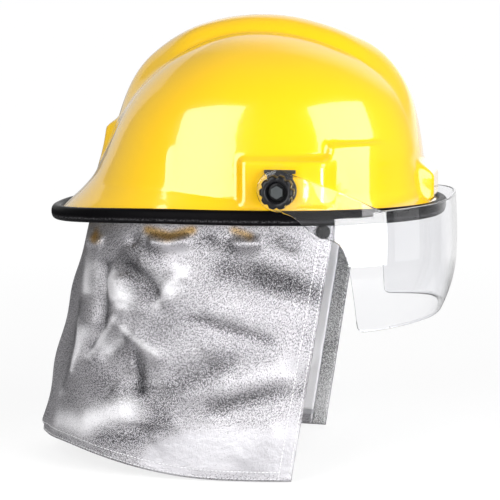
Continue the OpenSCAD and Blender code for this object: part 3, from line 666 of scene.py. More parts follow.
FOLDS = [
    # points in the frame, mm, width, kind
    ([(127, 242), (114, 254), (103, 264), (104, 290), (104, 313), (102, 328), (87, 348), (80, 368)], -4.2, 7.0, "crease"),
    ([(96, 244), (92, 262), (90, 290), (91, 318), (84, 336)], 3.0, 10.0, "soft"),
    ([(116, 272), (118, 292), (117, 304)], 4.2, 11.0, "soft"),
    ([(103, 264), (129, 270), (150, 280), (160, 295), (160, 304)], -3.0, 10.0, "soft"),
    ([(134, 262), (150, 268), (162, 276)], 1.8, 9.0, "soft"),
    ([(158, 296), (172, 283), (186, 269)], 3.0, 8.0, "crease"),
    ([(160, 306), (173, 296), (188, 288)], 2.0, 6.5, "crease"),
    ([(170, 291), (184, 281)], -1.4, 5.0, "soft"),
    ([(106, 306), (128, 311), (152, 309)], 1.5, 6.0, "crease"),
    ([(125, 331), (131, 350), (133, 376)], 2.4, 7.0, "crease"),
    ([(128, 332), (139, 358), (141, 392)], -3.2, 8.0, "crease"),
    ([(127, 333), (150, 350), (168, 364)], 2.6, 9.0, "soft"),
    ([(126, 330), (112, 322), (106, 314)], 1.6, 6.0, "crease"),
    ([(122, 334), (108, 350), (98, 362)], -2.0, 8.0, "soft"),
    ([(150, 386), (150, 402)], -2.0, 16.0, "soft"),
    ([(323, 297), (290, 287), (256, 278), (224, 266)], -3.8, 15.0, "soft"),
    ([(318, 312), (286, 302), (252, 292), (226, 278)], 2.2, 10.0, "crease"),
    ([(190, 316), (218, 325), (250, 334), (276, 341)], -1.9, 5.0, "crease"),
    ([(196, 306), (224, 314), (256, 324)], 1.3, 12.0, "soft"),
    ([(168, 384), (190, 374), (222, 365)], -2.4, 13.0, "soft"),
    ([(176, 400), (205, 390), (236, 378)], 1.7, 11.0, "soft"),
    ([(202, 417), (247, 402), (302, 389)], -2.5, 11.0, "soft"),
    ([(204, 402), (250, 386), (300, 374)], 1.6, 11.0, "soft"),
    ([(138, 424), (137, 436)], -2.6, 16.0, "soft"),
    ([(150, 443), (166, 430), (182, 419)], 1.6, 9.0, "crease"),
    ([(75, 420), (104, 412), (132, 410)], 2.6, 13.0, "soft"),
    ([(82, 308), (79, 331), (75, 356), (67, 382)], 1.8, 3.2, "crease"),
    ([(76, 300), (71, 340), (62, 384)], -2.4, 7.0, "soft"),
    ([(84, 242), (94, 240), (104, 244)], 4.6, 6.0, "soft"),
    ([(146, 241), (168, 243), (194, 240)], 7.0, 6.6, "soft"),
    ([(128, 236), (136, 244)], -3.0, 6.0, "soft"),
    ([(204, 238), (212, 248)], -3.0, 7.0, "soft"),
    ([(228, 243), (244, 244), (264, 242)], 6.4, 6.4, "soft"),
    ([(276, 238), (290, 245), (304, 250)], 2.4, 6.0, "soft"),
    ([(200, 352), (214, 346), (232, 350)], 1.2, 13.0, "soft"),
    ([(112, 388), (124, 396)], 1.5, 12.0, "soft"),
    ([(240, 470), (262, 440), (284, 424)], 1.4, 18.0, "soft"),
    ([(232, 300), (240, 330), (232, 362)], 0.9, 14.0, "crease"),
]
# where the metal film is rubbed into dark flecks and painted darker, mostly as shade along the creases and valleys
# (positive), and where it lies smooth and is painted lighter as a highlight on the bulges (negative)
WEAR_AND_PAINTED_LIGHT = [
    ([(326, 296), (290, 286), (256, 278), (226, 270)], 0.88, 14.0),
    ([(262, 274), (286, 284)], 0.50, 10.0),
    ([(110, 264), (132, 276), (150, 290)], 0.85, 15.0),
    ([(104, 262), (104, 300), (101, 328), (86, 350)], 0.75, 7.0),
    ([(82, 300), (76, 340), (64, 384)], 0.85, 9.0),
    ([(120, 252), (140, 246), (160, 256)], 0.55, 10.0),
    ([(196, 246), (208, 240), (230, 246)], 0.60, 9.0),
    ([(272, 240), (296, 246)], 0.60, 8.0),
    ([(131, 340), (139, 362), (141, 388)], 0.70, 8.0),
    ([(112, 346), (122, 352)], 0.45, 9.0),
    ([(176, 386), (200, 376), (226, 366)], 0.75, 13.0),
    ([(212, 410), (250, 400), (302, 390)], 0.70, 9.0),
    ([(192, 318), (220, 327), (272, 342)], 0.75, 4.5),
    ([(104, 434), (136, 436), (164, 424)], 0.80, 13.0),
    ([(76, 380), (112, 390), (158, 402)], 0.50, 15.0),
    ([(60, 396), (66, 420)], 0.35, 10.0),
    ([(176, 318), (160, 330), (150, 345)], 0.35, 14.0),
    ([(300, 330), (310, 350)], 0.25, 12.0),
    ([(115, 280), (117, 304)], -0.90, 9.0),
    ([(168, 266), (180, 272), (172, 288)], -0.80, 10.0),
    ([(168, 248), (190, 250)], -0.90, 7.0),
    ([(72, 424), (104, 414), (130, 412)], -0.90, 15.0),
    ([(60, 414), (84, 428)], -0.50, 12.0),
    ([(92, 288), (90, 318), (84, 336)], -0.70, 8.0),
    ([(164, 458), (200, 452), (288, 452)], -1.80, 22.0),
    ([(132, 344), (150, 356)], -0.80, 7.0),
    ([(96, 340), (90, 366)], -0.40, 8.0),
    ([(230, 302), (290, 318)], -0.35, 14.0),
    ([(230, 380), (300, 364)], -0.45, 12.0),
    ([(292, 350), (290, 470)], -0.30, 16.0),
    ([(96, 250), (92, 300)], -0.35, 6.0),
    ([(106, 406), (134, 401)], 0.60, 10.0),
    ([(164, 270), (177, 284)], 0.55, 8.0),
    ([(114, 296), (120, 304)], 0.30, 6.0),
]


# painted highlights on the lit sides of the creases and bulges (positive) and painted shade on their dark sides
# (negative); where positive the film is also rougher and less metallic
PAINTED_HIGHLIGHT_AND_SHADE = [
    ([(86, 236), (84, 262), (88, 290)], 1.0, 5.0),
    ([(70, 300), (64, 350), (58, 392)], 1.0, 4.5),
    ([(84, 330), (74, 356)], 0.8, 5.0),
    ([(58, 420), (84, 424), (112, 412), (128, 408)], 1.0, 11.0),
    ([(96, 336), (104, 352)], 0.6, 8.0),
    ([(110, 286), (124, 298)], 1.1, 10.0),
    ([(150, 276), (172, 290)], 0.5, 10.0),
    ([(92, 266), (110, 284)], 0.4, 7.0),
    ([(80, 300), (74, 340), (62, 386)], -0.8, 3.5),
    ([(66, 270), (56, 330), (46, 400)], -0.9, 5.0),
    ([(103, 262), (103, 320), (90, 346)], -0.6, 4.0),
        ([(160, 462), (220, 456), (290, 450)], -0.15, 26.0),
    ([(110, 274), (114, 290), (122, 304)], 0.6, 4.5),
    ([(188, 268), (172, 284), (156, 306)], 0.7, 4.0),
    ([(130, 264), (146, 276), (158, 296)], -0.6, 5.5),
    ([(123, 328), (138, 342), (156, 352)], 0.8, 3.5),
    ([(128, 338), (137, 358), (141, 392)], -0.8, 3.5),
    ([(114, 318), (100, 336), (87, 356)], 0.8, 3.5),
    ([(79, 318), (77, 345), (72, 370)], 0.9, 2.2),
    ([(108, 350), (120, 340)], 0.5, 5.0),
    ([(258, 276), (296, 288)], -0.3, 6.0),
    ([(296, 364), (306, 372)], -0.35, 10.0),
]


# a painted reflection of the yellow brim on the film just under it
PAINTED_BRIM_REFLECTION = [
    ([(94, 230), (98, 240)], 0.9, 4.0),
    ([(148, 230), (170, 236), (192, 230)], 1.0, 5.0),
    ([(234, 230), (250, 236)], 0.8, 4.5),
]


# paints a table of strokes, given in frame points, over the curtain's front sides; the default table also adds faint
# wavy wear over the back
def painted_strokes_at(u, v, table=None):
    near = u >= 0.5
    p, _ = cur_pt(np.where(near, u, np.clip(1.0 - u - 0.012, 0.5, 1.0)), v)
    X, Y = pix(p)
    w = np.zeros(X.shape)
    for pts, amp, width in (table or WEAR_AND_PAINTED_LIGHT):
        w += line_field(X, Y, pts, amp, width, "soft", None)
    if table:
        return w * ss(0.30, 0.42, np.abs(1.5 * (2 * u - 1)))
    back = 1 - ss(0.55, 0.72, np.abs(1.5 * (2 * u - 1)))
    return w * (1 - back) + back * 0.25 * np.sin(u * 61 + 3 * v) * np.sin(v * 9 + 4 * u)


def fold_px(X, Y):
    w = np.zeros(X.shape)
    for pts, amp, width, kind in FOLDS:
        w += line_field(X, Y, pts, amp, width, kind)
    w += 0.9 * np.sin(X / 21.0 + Y / 47.0 + 0.6) * np.sin(Y / 33.0 - X / 90.0 + 1.1)
    return w


def wrinkle(u, v):
    """Outward displacement in mm of the cloth at (u, v)."""
    u, v = np.broadcast_arrays(np.asarray(u, float), np.asarray(v, float))
    near = u >= 0.5
    uu = np.where(near, u, np.clip(1.0 - u - 0.012, 0.5, 1.0))
    vv = np.where(near, v, np.clip(v * 0.93 + 0.05, 0, 1))
    p, n = cur_pt(uu, vv)
    X, Y = pix(p)
    fac = -(n * unit(p - CAM)).sum(-1)
    w = fold_px(X, Y) * ss(0.02, 0.32, fac) * np.where(near, 1.0, 0.8)
    # the back of the curtain hangs in a few soft vertical folds
    s = (u - 0.5) * 620
    back = 1 - ss(0.02, 0.34, fac)
    f = (1.9 * np.sin(s / 17.0 + 0.5 * np.sin(v * 5 + 1)) + 1.3 * np.sin(s / 8.1 + 2.0 + v * 2.2)) * ss(0.03, 0.5, v)
    f += 1.4 * np.sin(v * 19 + s / 26.0) * np.exp(-((s - 20) / 40) ** 2) * ss(0.1, 0.4, v)
    w = w + f * back
    edge = np.where(near, 0.1 + 0.9 * (1 - ss(0.957, 0.985, u)), 0.1 + 0.9 * ss(0.012, 0.05, u))
    top, low = ss(0.01, 0.11, v), 1 - 0.75 * ss(0.955, 0.99, v)
    return np.clip(w * edge * top * low, -7.5, 7.0)


def cloth_pt(u, v, d):
    p, n = cur_pt(u, v, 0)
    return p + n * (wrinkle(u, v) - d)[..., None]


def uv_layer(o, uv):
    """uv holds one pair a vertex, in mm."""
    me = o.data
    lay = me.uv_layers.new(name="uv")
    idx = np.zeros(len(me.loops), int)
    me.loops.foreach_get("vertex_index", idx)
    lay.data.foreach_set("uv", np.asarray(uv, np.float32)[idx].ravel())


def cloth_sheet(name, u0, u1, v0, v1, d0, d1, nu, nv, mat, nodes=(), warp_u=None):
    """A thin cloth with both faces and rolled edges, from depth d0 (outer) to d1 (inner)."""
    u = np.linspace(u0, u1, nu) if warp_u is None else warp_u
    v = np.linspace(v0, v1, nv)
    U, V = np.meshgrid(u, v, indexing="ij")
    a, b = cloth_pt(U, V, d0), cloth_pt(U, V, d1)
    nu = len(u)
    verts = np.concatenate([a.reshape(-1, 3), b.reshape(-1, 3)])
    f = []
    m = nu * nv
    for i in range(nu - 1):
        for j in range(nv - 1):
            q = i * nv + j
            f.append((q, q + 1, q + nv + 1, q + nv))
            f.append((m + q, m + q + nv, m + q + nv + 1, m + q + 1))
    for i in range(nu - 1):
        for j in (0, nv - 1):
            q = i * nv + j
            f.append((q, q + nv, m + q + nv, m + q))
    for j in range(nv - 1):
        for i in (0, nu - 1):
            q = i * nv + j
            f.append((q, q + 1, m + q + 1, m + q))
    o = mesh_obj(name, verts, f, mat, nodes=nodes)
    outward(o)
    su = np.concatenate([[0], np.cumsum(np.linalg.norm(np.diff(a[:, nv // 2], axis=0), axis=1))])
    sv = np.concatenate([[0], np.cumsum(np.linalg.norm(np.diff(a[nu // 2], axis=0), axis=1))])
    uv = np.stack(np.meshgrid(su, sv, indexing="ij"), -1).reshape(-1, 2)
    uv_layer(o, np.concatenate([uv, uv]))
    # stroke attributes for the cloth colour, weaker on the inner face: wear with painted shade and highlights, painted
    # highlights and shade, and a painted reflection of the brim on the outer face only
    w = painted_strokes_at(U, V).ravel()
    at = o.data.attributes.new("wear_and_painted_light", "FLOAT", "POINT")
    at.data.foreach_set("value", np.concatenate([w, w * 0.4]).astype(np.float32))
    w = painted_strokes_at(U, V, PAINTED_HIGHLIGHT_AND_SHADE).ravel()
    at = o.data.attributes.new("painted_highlight_and_shade", "FLOAT", "POINT")
    at.data.foreach_set("value", np.concatenate([w, w * 0.4]).astype(np.float32))
    w = painted_strokes_at(U, V, PAINTED_BRIM_REFLECTION).ravel()
    at = o.data.attributes.new("painted_brim_reflection", "FLOAT", "POINT")
    at.data.foreach_set("value", np.concatenate([w, w * 0.0]).astype(np.float32))
    area = 0.5 * (np.linalg.norm(np.cross(a[1:, 1:] - a[:-1, :-1], a[1:, :-1] - a[:-1, 1:]), axis=-1)).sum()
    return o, su[-1], sv[-1], area


def weave(g, pitch, co):
    """Height of a 2/2 twill with the given pitch in mm, on uv in mm."""
    sep = g.n("SeparateXYZ")
    g.link(co, sep.inputs[0])
    x, y = sep.outputs[0], sep.outputs[1]
    k = 2 * math.pi / pitch
    diag = g.math("SINE", g.math("MULTIPLY", g.math("ADD", x, y), k * 0.707))
    thr = g.math("SINE", g.math("MULTIPLY", g.math("SUBTRACT", y, x), k * 1.35))
    warp = g.math("SINE", g.math("MULTIPLY", x, k * 1.9))
    h = g.math("ADD", g.math("MULTIPLY", diag, 0.5), g.math("MULTIPLY", thr, 0.32))
    return g.math("ADD", h, g.math("MULTIPLY", warp, 0.2))


def aluminised(name="aluminised_cloth", metal=0.88, bias=0.0, painted_light_gain=1.0):
    """Metal film on a twill: the film is cracked into dark flecks where it is rubbed, and smooth elsewhere; its colour
    also holds painted shade along the creases, painted highlights on the bulges and beside the creases, and a painted
    reflection of the yellow brim.
    """
    g = Nodes(name)
    uv = g.uv()
    wear_and_painted_light = g.math("ADD", g.attr("wear_and_painted_light"), bias)
    h = weave(g, 1.3, uv)
    mp = g.n("Mapping")
    mp.inputs["Rotation"].default_value = (0, 0, math.radians(38))
    mp.inputs["Scale"].default_value = (1.0, 0.7, 1.0)
    g.link(uv, mp.inputs["Vector"])
    sp = g.noise(1.22, 2.0, 0.75, co=mp.outputs["Vector"])
    mid = g.noise(0.42, 3.0, 0.6, co=mp.outputs["Vector"])
    big = g.noise(0.018, 4, 0.6, co=uv)
    crk = g.noise(0.16, 5, 0.65, co=uv)
    # the first mask marks smooth film, with fewer flecks, softer bumps and a lighter colour that is a painted
    # highlight; the second marks rubbed film, with more dark flecks and darker colours that are partly painted shade in
    # the creases and valleys
    smooth = g.rng(wear_and_painted_light, -0.25, -1.1, 0.0, 1.0)
    rub_and_shade = g.rng(wear_and_painted_light, -0.1, 1.0, 0.0, 1.0)
    # flecks: a threshold on the fine noise that rises with wear and with the painted shade
    f = g.math("ADD", sp, g.math("ADD", g.math("MULTIPLY", h, 0.05), g.math("MULTIPLY", g.math("SUBTRACT", mid, 0.5), 0.22)))
    lo = g.math("ADD", g.rng(rub_and_shade, 0.0, 1.0, 0.425, 0.515), g.math("MULTIPLY", smooth, -0.16))
    spk = g.n("MapRange", clamp=True)
    g.link(f, spk.inputs["Value"])
    g.link(lo, spk.inputs["From Min"])
    g.link(g.math("ADD", lo, 0.085), spk.inputs["From Max"])
    spk = spk.outputs["Result"]
    # lighter film colours, lifted by a factor as painted light for cloth in shade, and lightened on smooth film as a
    # painted highlight
    lite = g.mix(rub_and_shade, *[tuple(min(0.95, painted_light_gain * c) for c in q) for q in ((0.64, 0.625, 0.65), (0.54, 0.53, 0.555))])
    lite = g.mix(smooth, lite, (0.72, 0.71, 0.735))
    # dark flecks, darker still where rubbed, partly as painted shade
    dark = g.mix(rub_and_shade, (0.13, 0.127, 0.134), (0.025, 0.024, 0.027))
    colr = g.mix(spk, dark, lite)
    colr = g.mix(g.rng(big, 0.35, 0.75, 0.0, 0.25), colr, (0.72, 0.71, 0.74), "MULTIPLY")
    # painted highlights screened lighter and painted shade multiplied darker along the crease strokes
    colr = g.mix(g.rng(g.attr("painted_highlight_and_shade"), 0.0, 1.0, 0.0, 0.55), colr, (0.93, 0.92, 0.95), "SCREEN")
    colr = g.mix(g.rng(g.attr("painted_highlight_and_shade"), 0.0, -1.0, 0.0, 1.0), colr, (0.20, 0.20, 0.21), "MULTIPLY")
    r = g.math("ADD", g.rng(crk, 0.3, 0.7, 0.38, 0.50), g.math("MULTIPLY", smooth, 0.05))
    r = g.math("ADD", r, g.rng(g.attr("painted_highlight_and_shade"), 0.2, 1.0, 0.0, 0.14))
    hh = g.math("ADD", g.math("MULTIPLY", h, 0.22), g.math("MULTIPLY", sp, 1.2))
    n1 = g.n("Bump")
    n1.inputs["Distance"].default_value = 0.0005
    g.link(g.rng(smooth, 0.0, 1.0, 0.60, 0.26), n1.inputs["Strength"])
    g.link(hh, n1.inputs["Height"])
    n2 = g.bump(crk, 0.5, 0.0014, n1.outputs["Normal"])
    # the painted reflection of the yellow brim, multiplied into the film's colour
    colr = g.mix(g.rng(g.attr("painted_brim_reflection"), 0.1, 0.9, 0.0, 0.85), colr, (1.0, 0.62, 0.14), "MULTIPLY")
    return g.set(base=colr, rough=r, metal=g.rng(g.attr("painted_highlight_and_shade"), 0.0, 0.9, metal, min(metal, 0.35)), normal=n2)


def plain_cloth(name, a, b, pitch, rough=0.85, sheen=0.2):
    g = Nodes(name)
    uv = g.uv()
    h = weave(g, pitch, uv)
    fz = g.noise(1.3, 3, 0.7, co=uv)
    big = g.noise(0.03, 4, 0.6, co=uv)
    colr = g.mix(g.rng(g.math("ADD", h, g.math("MULTIPLY", fz, 1.4)), -0.2, 1.6, 0, 1), a, b)
    colr = g.mix(g.rng(big, 0.35, 0.75, 0.0, 0.25), colr, a)
    return g.set(base=colr, rough=g.rng(fz, 0.2, 0.8, rough - 0.08, rough + 0.08), sheen=sheen, sheen_rough=0.5,
                 normal=g.bump(g.math("ADD", h, fz), 0.5, 0.0003))


M_ALU = aluminised()
# the turned-in edges: less metallic, with more flecks, and colours lifted as painted light because their inner faces
# lie in shade
M_ALU_IN = aluminised("aluminised_cloth_turned_in", 0.10, 0.38, 2.1)
M_LINING = plain_cloth("lining_cloth", (0.36, 0.36, 0.38), (0.56, 0.56, 0.58), 1.2, 0.6, 0.3)
M_HOOK = plain_cloth("fastener_tape", (0.86, 0.85, 0.87), (0.98, 0.97, 0.99), 0.9, 0.9, 0.6)
M_THREAD = plain_cloth("stitch_thread", (0.70, 0.70, 0.71), (0.90, 0.90, 0.91), 0.4, 0.6)
M_DTHREAD = plain_cloth("stitch_thread_dark", (0.025, 0.025, 0.028), (0.05, 0.05, 0.055), 0.4, 0.6)


def stitches(name, run, normals, step=3.2, length=2.3, rad=0.32, mat=None, body="helmet", lift=0.12):
    """Small thread capsules along a run of points (mm), lying on the surface whose outward normals are given."""
    run, normals = np.asarray(run, float), np.asarray(normals, float)
    s = np.concatenate([[0], np.cumsum(np.linalg.norm(np.diff(run, axis=0), axis=1))])
    verts, faces = [], []
    ns = 6
    for c in np.arange(step / 2, s[-1] - step / 2, step):
        def at(x):
            return np.array([np.interp(x, s, run[:, i]) for i in range(3)])
        p, a, b = at(c), at(c - length / 2), at(c + length / 2)
        n = np.array([np.interp(c, s, normals[:, i]) for i in range(3)])
        t = (b - a) / max(np.linalg.norm(b - a), 1e-6)
        n = n - t * (n @ t)
        n /= max(np.linalg.norm(n), 1e-6)
        w = np.cross(n, t)
        o = len(verts)
        for q, (al, sc, up) in enumerate(((-0.5, 0.35, -0.5), (-0.36, 0.9, 0.1), (0, 1.05, 0.35), (0.36, 0.9, 0.1), (0.5, 0.35, -0.5))):
            cen = p + t * al * length + n * (lift + up * rad)
            for j in range(ns):
                th = 2 * math.pi * j / ns
                verts.append(cen + (w * math.cos(th) + n * math.sin(th)) * rad * sc)
        for q in range(4):
            for j in range(ns):
                k = (j + 1) % ns
                faces.append((o + q * ns + j, o + q * ns + k, o + (q + 1) * ns + k, o + (q + 1) * ns + j))
        faces.append(tuple(o + j for j in reversed(range(ns))))
        faces.append(tuple(o + 4 * ns + j for j in range(ns)))
    ob = mesh_obj(name, verts, faces, mat or M_THREAD, body=body)
    uv_layer(ob, np.asarray(verts)[:, [1, 2]])
    return ob


def cloth_run(u, v, d):
    u, v = np.broadcast_arrays(np.asarray(u, float), np.asarray(v, float))
    p = cloth_pt(u, v, d)
    e = 0.004
    du = cloth_pt(np.clip(u + e, 0, 1), v, d) - cloth_pt(np.clip(u - e, 0, 1), v, d)
    dv = cloth_pt(u, np.clip(v + e, 0, 1), d) - cloth_pt(u, np.clip(v - e, 0, 1), d)
    return p, unit(np.cross(du, dv))


def build_curtain():
    nu, nv = ((350, 122))
    o, w, l, area = cloth_sheet("neck_curtain_cloth", 0, 1, 0, 1, 0.05, 1.0, nu, nv, M_ALU, ["neck_curtain"])
    lin, w2, l2, area2 = cloth_sheet("curtain_lining_cloth", 0.022, 0.978, 0.02, 0.975, 1.5, 2.2, nu // 2, nv // 2, M_LINING,
                                     ["curtain_lining"])
    for tag, a, b in (("left", 0.024, 0.060), ("right", 0.940, 0.976)):
        t, tw, tl, _ = cloth_sheet("fastener_tape_" + tag, a, b, 0.17, 0.935, 2.5, 4.0, 12, 90, M_HOOK)
    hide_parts("curtain_fasteners")
    # turned-in edges: the outer cloth is folded back along both front edges and the bottom
    for tag, a, b in (("left", 0.0015, 0.0225), ("right", 0.9775, 0.9985)):
        t, _, _, _ = cloth_sheet("front_binding_" + tag, a, b, 0.01, 0.998, 1.3, 2.3, 8, 100, M_ALU_IN)
    t, _, _, _ = cloth_sheet("bottom_binding", 0.0225, 0.9775, 0.955, 0.998, 1.3, 2.3, nu // 2, 8, M_ALU)
    vs = np.linspace(0.03, 0.985, 200)
    us = np.linspace(0.012, 0.988, 420)
    runs = []
    for i, ue in enumerate((0.0045, 0.0195, 0.9805, 0.9955)):
        p, n = cloth_run(ue, vs, 0.05)
        sgn = 1.0
        runs.append((p, n, "edge%d" % i))
    for i, ve in enumerate((0.965, 0.992)):
        p, n = cloth_run(us, ve, 0.05)
        runs.append((p, n, "hem%d" % i))
    for p, n, tag in runs:
        cen = np.array([0, 0, 0])
        out = np.where(((p - cen) * n * np.array([1, 1, 0])).sum(-1, keepdims=True) > 0, n, -n)
        s = stitches("stitch_" + tag, p, out, rad=0.30)
    return dict(w=w, l=l, area=area, w2=w2, l2=l2, area2=area2)


CURTAIN = build_curtain()


def ring_strip(name, cen, up, out, width, thick, mat, closed=False, body="helmet", nodes=(), edge=0.35):
    """Flat webbing along the run cen (mm): up is the direction of its width at each point, out of its thickness."""
    cen, up, out = (np.asarray(x, float) for x in (cen, up, out))
    up = np.broadcast_to(up, cen.shape)
    out = np.broadcast_to(out, cen.shape)
    h, t = width / 2, thick / 2
    e = min(edge, t * 0.9)
    prof = [(-h + e, t), (-h + width * 0.25, t), (0, t), (h - width * 0.25, t), (h - e, t), (h, t - e), (h, -t + e), (h - e, -t),
            (h - width * 0.25, -t), (0, -t), (-h + width * 0.25, -t), (-h + e, -t), (-h, -t + e), (-h, t - e)]
    m = len(prof)
    n = len(cen)
    v = np.concatenate([cen[:, None, :] + up[:, None, :] * np.array([a for a, _ in prof])[None, :, None]
                        + out[:, None, :] * np.array([b for _, b in prof])[None, :, None]]).reshape(-1, 3)
    f = []
    for i in range(n if closed else n - 1):
        j = (i + 1) % n
        for q in range(m):
            r = (q + 1) % m
            f.append((i * m + q, i * m + r, j * m + r, j * m + q))
    if not closed:
        f.append(tuple(range(m)))
        f.append(tuple((n - 1) * m + q for q in reversed(range(m))))
    o = mesh_obj(name, v, f, mat, body=body, nodes=nodes, sharp=60)
    outward(o)
    s = np.concatenate([[0], np.cumsum(np.linalg.norm(np.diff(cen, axis=0), axis=1))])
    uv = np.stack([np.repeat(s, m), np.tile([a for a, _ in prof], n)], -1)
    uv_layer(o, uv)
    return o


def webbing_mat(name="webbing_black", a=(0.012, 0.012, 0.014), b=(0.040, 0.040, 0.044)):
    """Woven strap: ribs across the strap and a finer thread along it."""
    g = Nodes(name)
    uv = g.uv()
    sep = g.n("SeparateXYZ")
    g.link(uv, sep.inputs[0])
    x, y = sep.outputs[0], sep.outputs[1]
    rib = g.math("SINE", g.math("MULTIPLY", x, 2 * math.pi / 1.5))
    col = g.math("SINE", g.math("MULTIPLY", y, 2 * math.pi / 1.25))
    chev = g.math("MULTIPLY", rib, col)
    fz = g.noise(2.2, 3, 0.7, co=uv)
    h = g.math("ADD", g.math("MULTIPLY", chev, 0.55), g.math("ADD", g.math("MULTIPLY", col, 0.25), fz))
    colr = g.mix(g.rng(h, -0.4, 1.3, 0, 1), a, b)
    return g.set(base=colr, rough=g.rng(fz, 0.2, 0.8, 0.62, 0.82), sheen=0.25, sheen_rough=0.4, normal=g.bump(h, 0.7, 0.0003))


M_WEB = webbing_mat()


def build_band():
    a = np.radians(np.linspace(-31, 211, 240))
    sx = 113.7 * spow(np.cos(a), CE)
    sy = np.where(np.sin(a) > 0, 138.3, 151.1) * spow(np.sin(a), CE)
    c = np.stack([sx, sy, 0 * sx], -1)
    t = unit(np.gradient(c, axis=0))
    out = np.stack([t[:, 1], -t[:, 0], 0 * sx], -1)
    return ring_strip("curtain_band_webbing", c, [0, 0, 1], out, 8.0, 1.4, M_WEB, nodes=["curtain_band"])


build_band()
# ------------------------------------------------------------------ CAD pieces that stay: finish and edges
def cad(names, mat, bevel=0.0, sharp=32, seg=2):
    for nm in names.split():
        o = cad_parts[nm]
        o.data.materials.clear()
        o.data.materials.append(mat)
        o.data.polygons.foreach_set("use_smooth", [True] * len(o.data.polygons))
        w = o.modifiers.new("weld", "WELD")
        w.merge_threshold = 0.00002
        if bevel:
            b = o.modifiers.new("bevel", "BEVEL")
            b.width, b.segments, b.limit_method, b.angle_limit = bevel * MM, seg, "ANGLE", math.radians(38)
            b.harden_normals = False
            b.use_clamp_overlap = True
        o.modifiers.new("flat", "WEIGHTED_NORMAL").keep_sharp = True
        o.data.set_sharp_from_angle(angle=math.radians(sharp))


def foam():
    """Closed-cell foam: fine open pores in a faint pebble grain, the pores painted darker as shade inside them."""
    g = Nodes("liner_foam")
    vor = g.n("TexVoronoi")
    vor.inputs["Scale"].default_value = 620
    g.link(g.co, vor.inputs["Vector"])
    peb = g.n("TexVoronoi")
    peb.inputs["Scale"].default_value = 170
    g.link(g.co, peb.inputs["Vector"])
    big, fine = g.noise(22, 4), g.noise(1500, 3)
    cell = g.rng(vor.outputs["Distance"], 0.0, 0.55, 0.0, 1.0)
    colr = g.mix(g.rng(big, 0.3, 0.7, 0, 1), (0.036, 0.036, 0.040), (0.056, 0.056, 0.062))
    # pores painted darker towards their middles, as painted shade inside them
    colr = g.mix(g.rng(cell, 0.0, 0.35, 0.55, 0.0), colr, (0.012, 0.012, 0.013))
    h = g.math("ADD", g.math("MULTIPLY", cell, 0.8), g.math("ADD", g.math("MULTIPLY", peb.outputs["Distance"], -0.9), g.math("MULTIPLY", fine, 0.3)))
    return g.set(base=colr, rough=g.rng(fine, 0.2, 0.8, 0.82, 0.95), normal=g.bump(h, 0.6, 0.0005), spec=0.25)


def pad_cloth():
    """Brushed knit over foam: loops in rows, with lint and darker patches at random."""
    g = Nodes("pad_fabric")
    uv = g.uv()
    sep = g.n("SeparateXYZ")
    g.link(uv, sep.inputs[0])
    x, y = sep.outputs[0], sep.outputs[1]
    k = 2 * math.pi / 1.15
    a = g.math("SINE", g.math("MULTIPLY", x, k))
    b = g.math("SINE", g.math("ADD", g.math("MULTIPLY", y, k * 0.8), g.math("MULTIPLY", a, 0.9)))
    loop = g.math("MULTIPLY", g.math("ADD", a, 1.2), g.math("ADD", b, 1.2))
    fz, big = g.noise(1.9, 4, 0.7, co=uv), g.noise(0.05, 3, co=uv)
    h = g.math("ADD", g.math("MULTIPLY", loop, 0.3), g.math("MULTIPLY", fz, 0.9))
    colr = g.mix(g.rng(h, 0.2, 1.7, 0, 1), (0.020, 0.017, 0.016), (0.085, 0.076, 0.070))
    colr = g.mix(g.rng(big, 0.4, 0.7, 0.0, 0.35), colr, (0.030, 0.026, 0.024))
    return g.set(base=colr, rough=g.rng(fz, 0.2, 0.8, 0.8, 0.95), sheen=0.6, sheen_rough=0.5, normal=g.bump(h, 0.7, 0.0004))


def patch_leather():
    g = Nodes("crown_patch_leather")
    vor = g.n("TexVoronoi")
    vor.inputs["Scale"].default_value = 900
    g.link(g.co, vor.inputs["Vector"])
    big, fine = g.noise(60, 4), g.noise(1300, 3)
    colr = g.mix(g.rng(big, 0.3, 0.7, 0, 1), (0.014, 0.013, 0.013), (0.030, 0.028, 0.027))
    h = g.math("ADD", g.math("MULTIPLY", vor.outputs["Distance"], 1.0), g.math("MULTIPLY", fine, 0.4))
    return g.set(base=colr, rough=g.rng(fine, 0.2, 0.8, 0.42, 0.6), normal=g.bump(h, 0.5, 0.0003))


M_FOAM, M_PAD, M_PATCH = foam(), pad_cloth(), patch_leather()
M_CUP = moulded("chin_cup_plastic", (0.020, 0.020, 0.022), (0.030, 0.030, 0.033), 0.55, grain=700, depth=0.0002)

cad("pivot_bracket_right pivot_bracket_left", M_BLACK, 0.35)
cad("pivot_bushes thrust_washer_right thrust_washer_left cover_screws anchor_screws strap_studs", M_STEEL, 0.22)
cad("pivot_nuts", M_STEEL, 0.35)
cad("visor_washers", M_FIBRE, 0.15)
cad("headband", M_BAND, 0.4)
cad("cradle_hangers strap_anchors strap_end_plates nape_housing nape_cover", M_BLACK, 0.45)
cad("rack_right rack_left", M_BAND, 0.12, seg=1)
cad("ratchet_pinion", M_ACETAL, 0.12, seg=1)
cad("ratchet_knob", M_KNOB, 0.45)
cad("buckle_female buckle_male strap_slider", M_BLACK, 0.7, seg=3)
cad("buckle_button", M_RED, 0.5, seg=3)
cad("chin_cup", M_CUP, 0.5)
M_SNAP = moulded("snap_black", (0.006, 0.006, 0.007), (0.012, 0.012, 0.013), 0.30, grain=1200, depth=0.00006)
M_SNAP.node_tree.nodes["Principled BSDF"].inputs["Specular IOR Level"].default_value = 0.12
cad("curtain_snaps", M_SNAP, 0.35, seg=3)


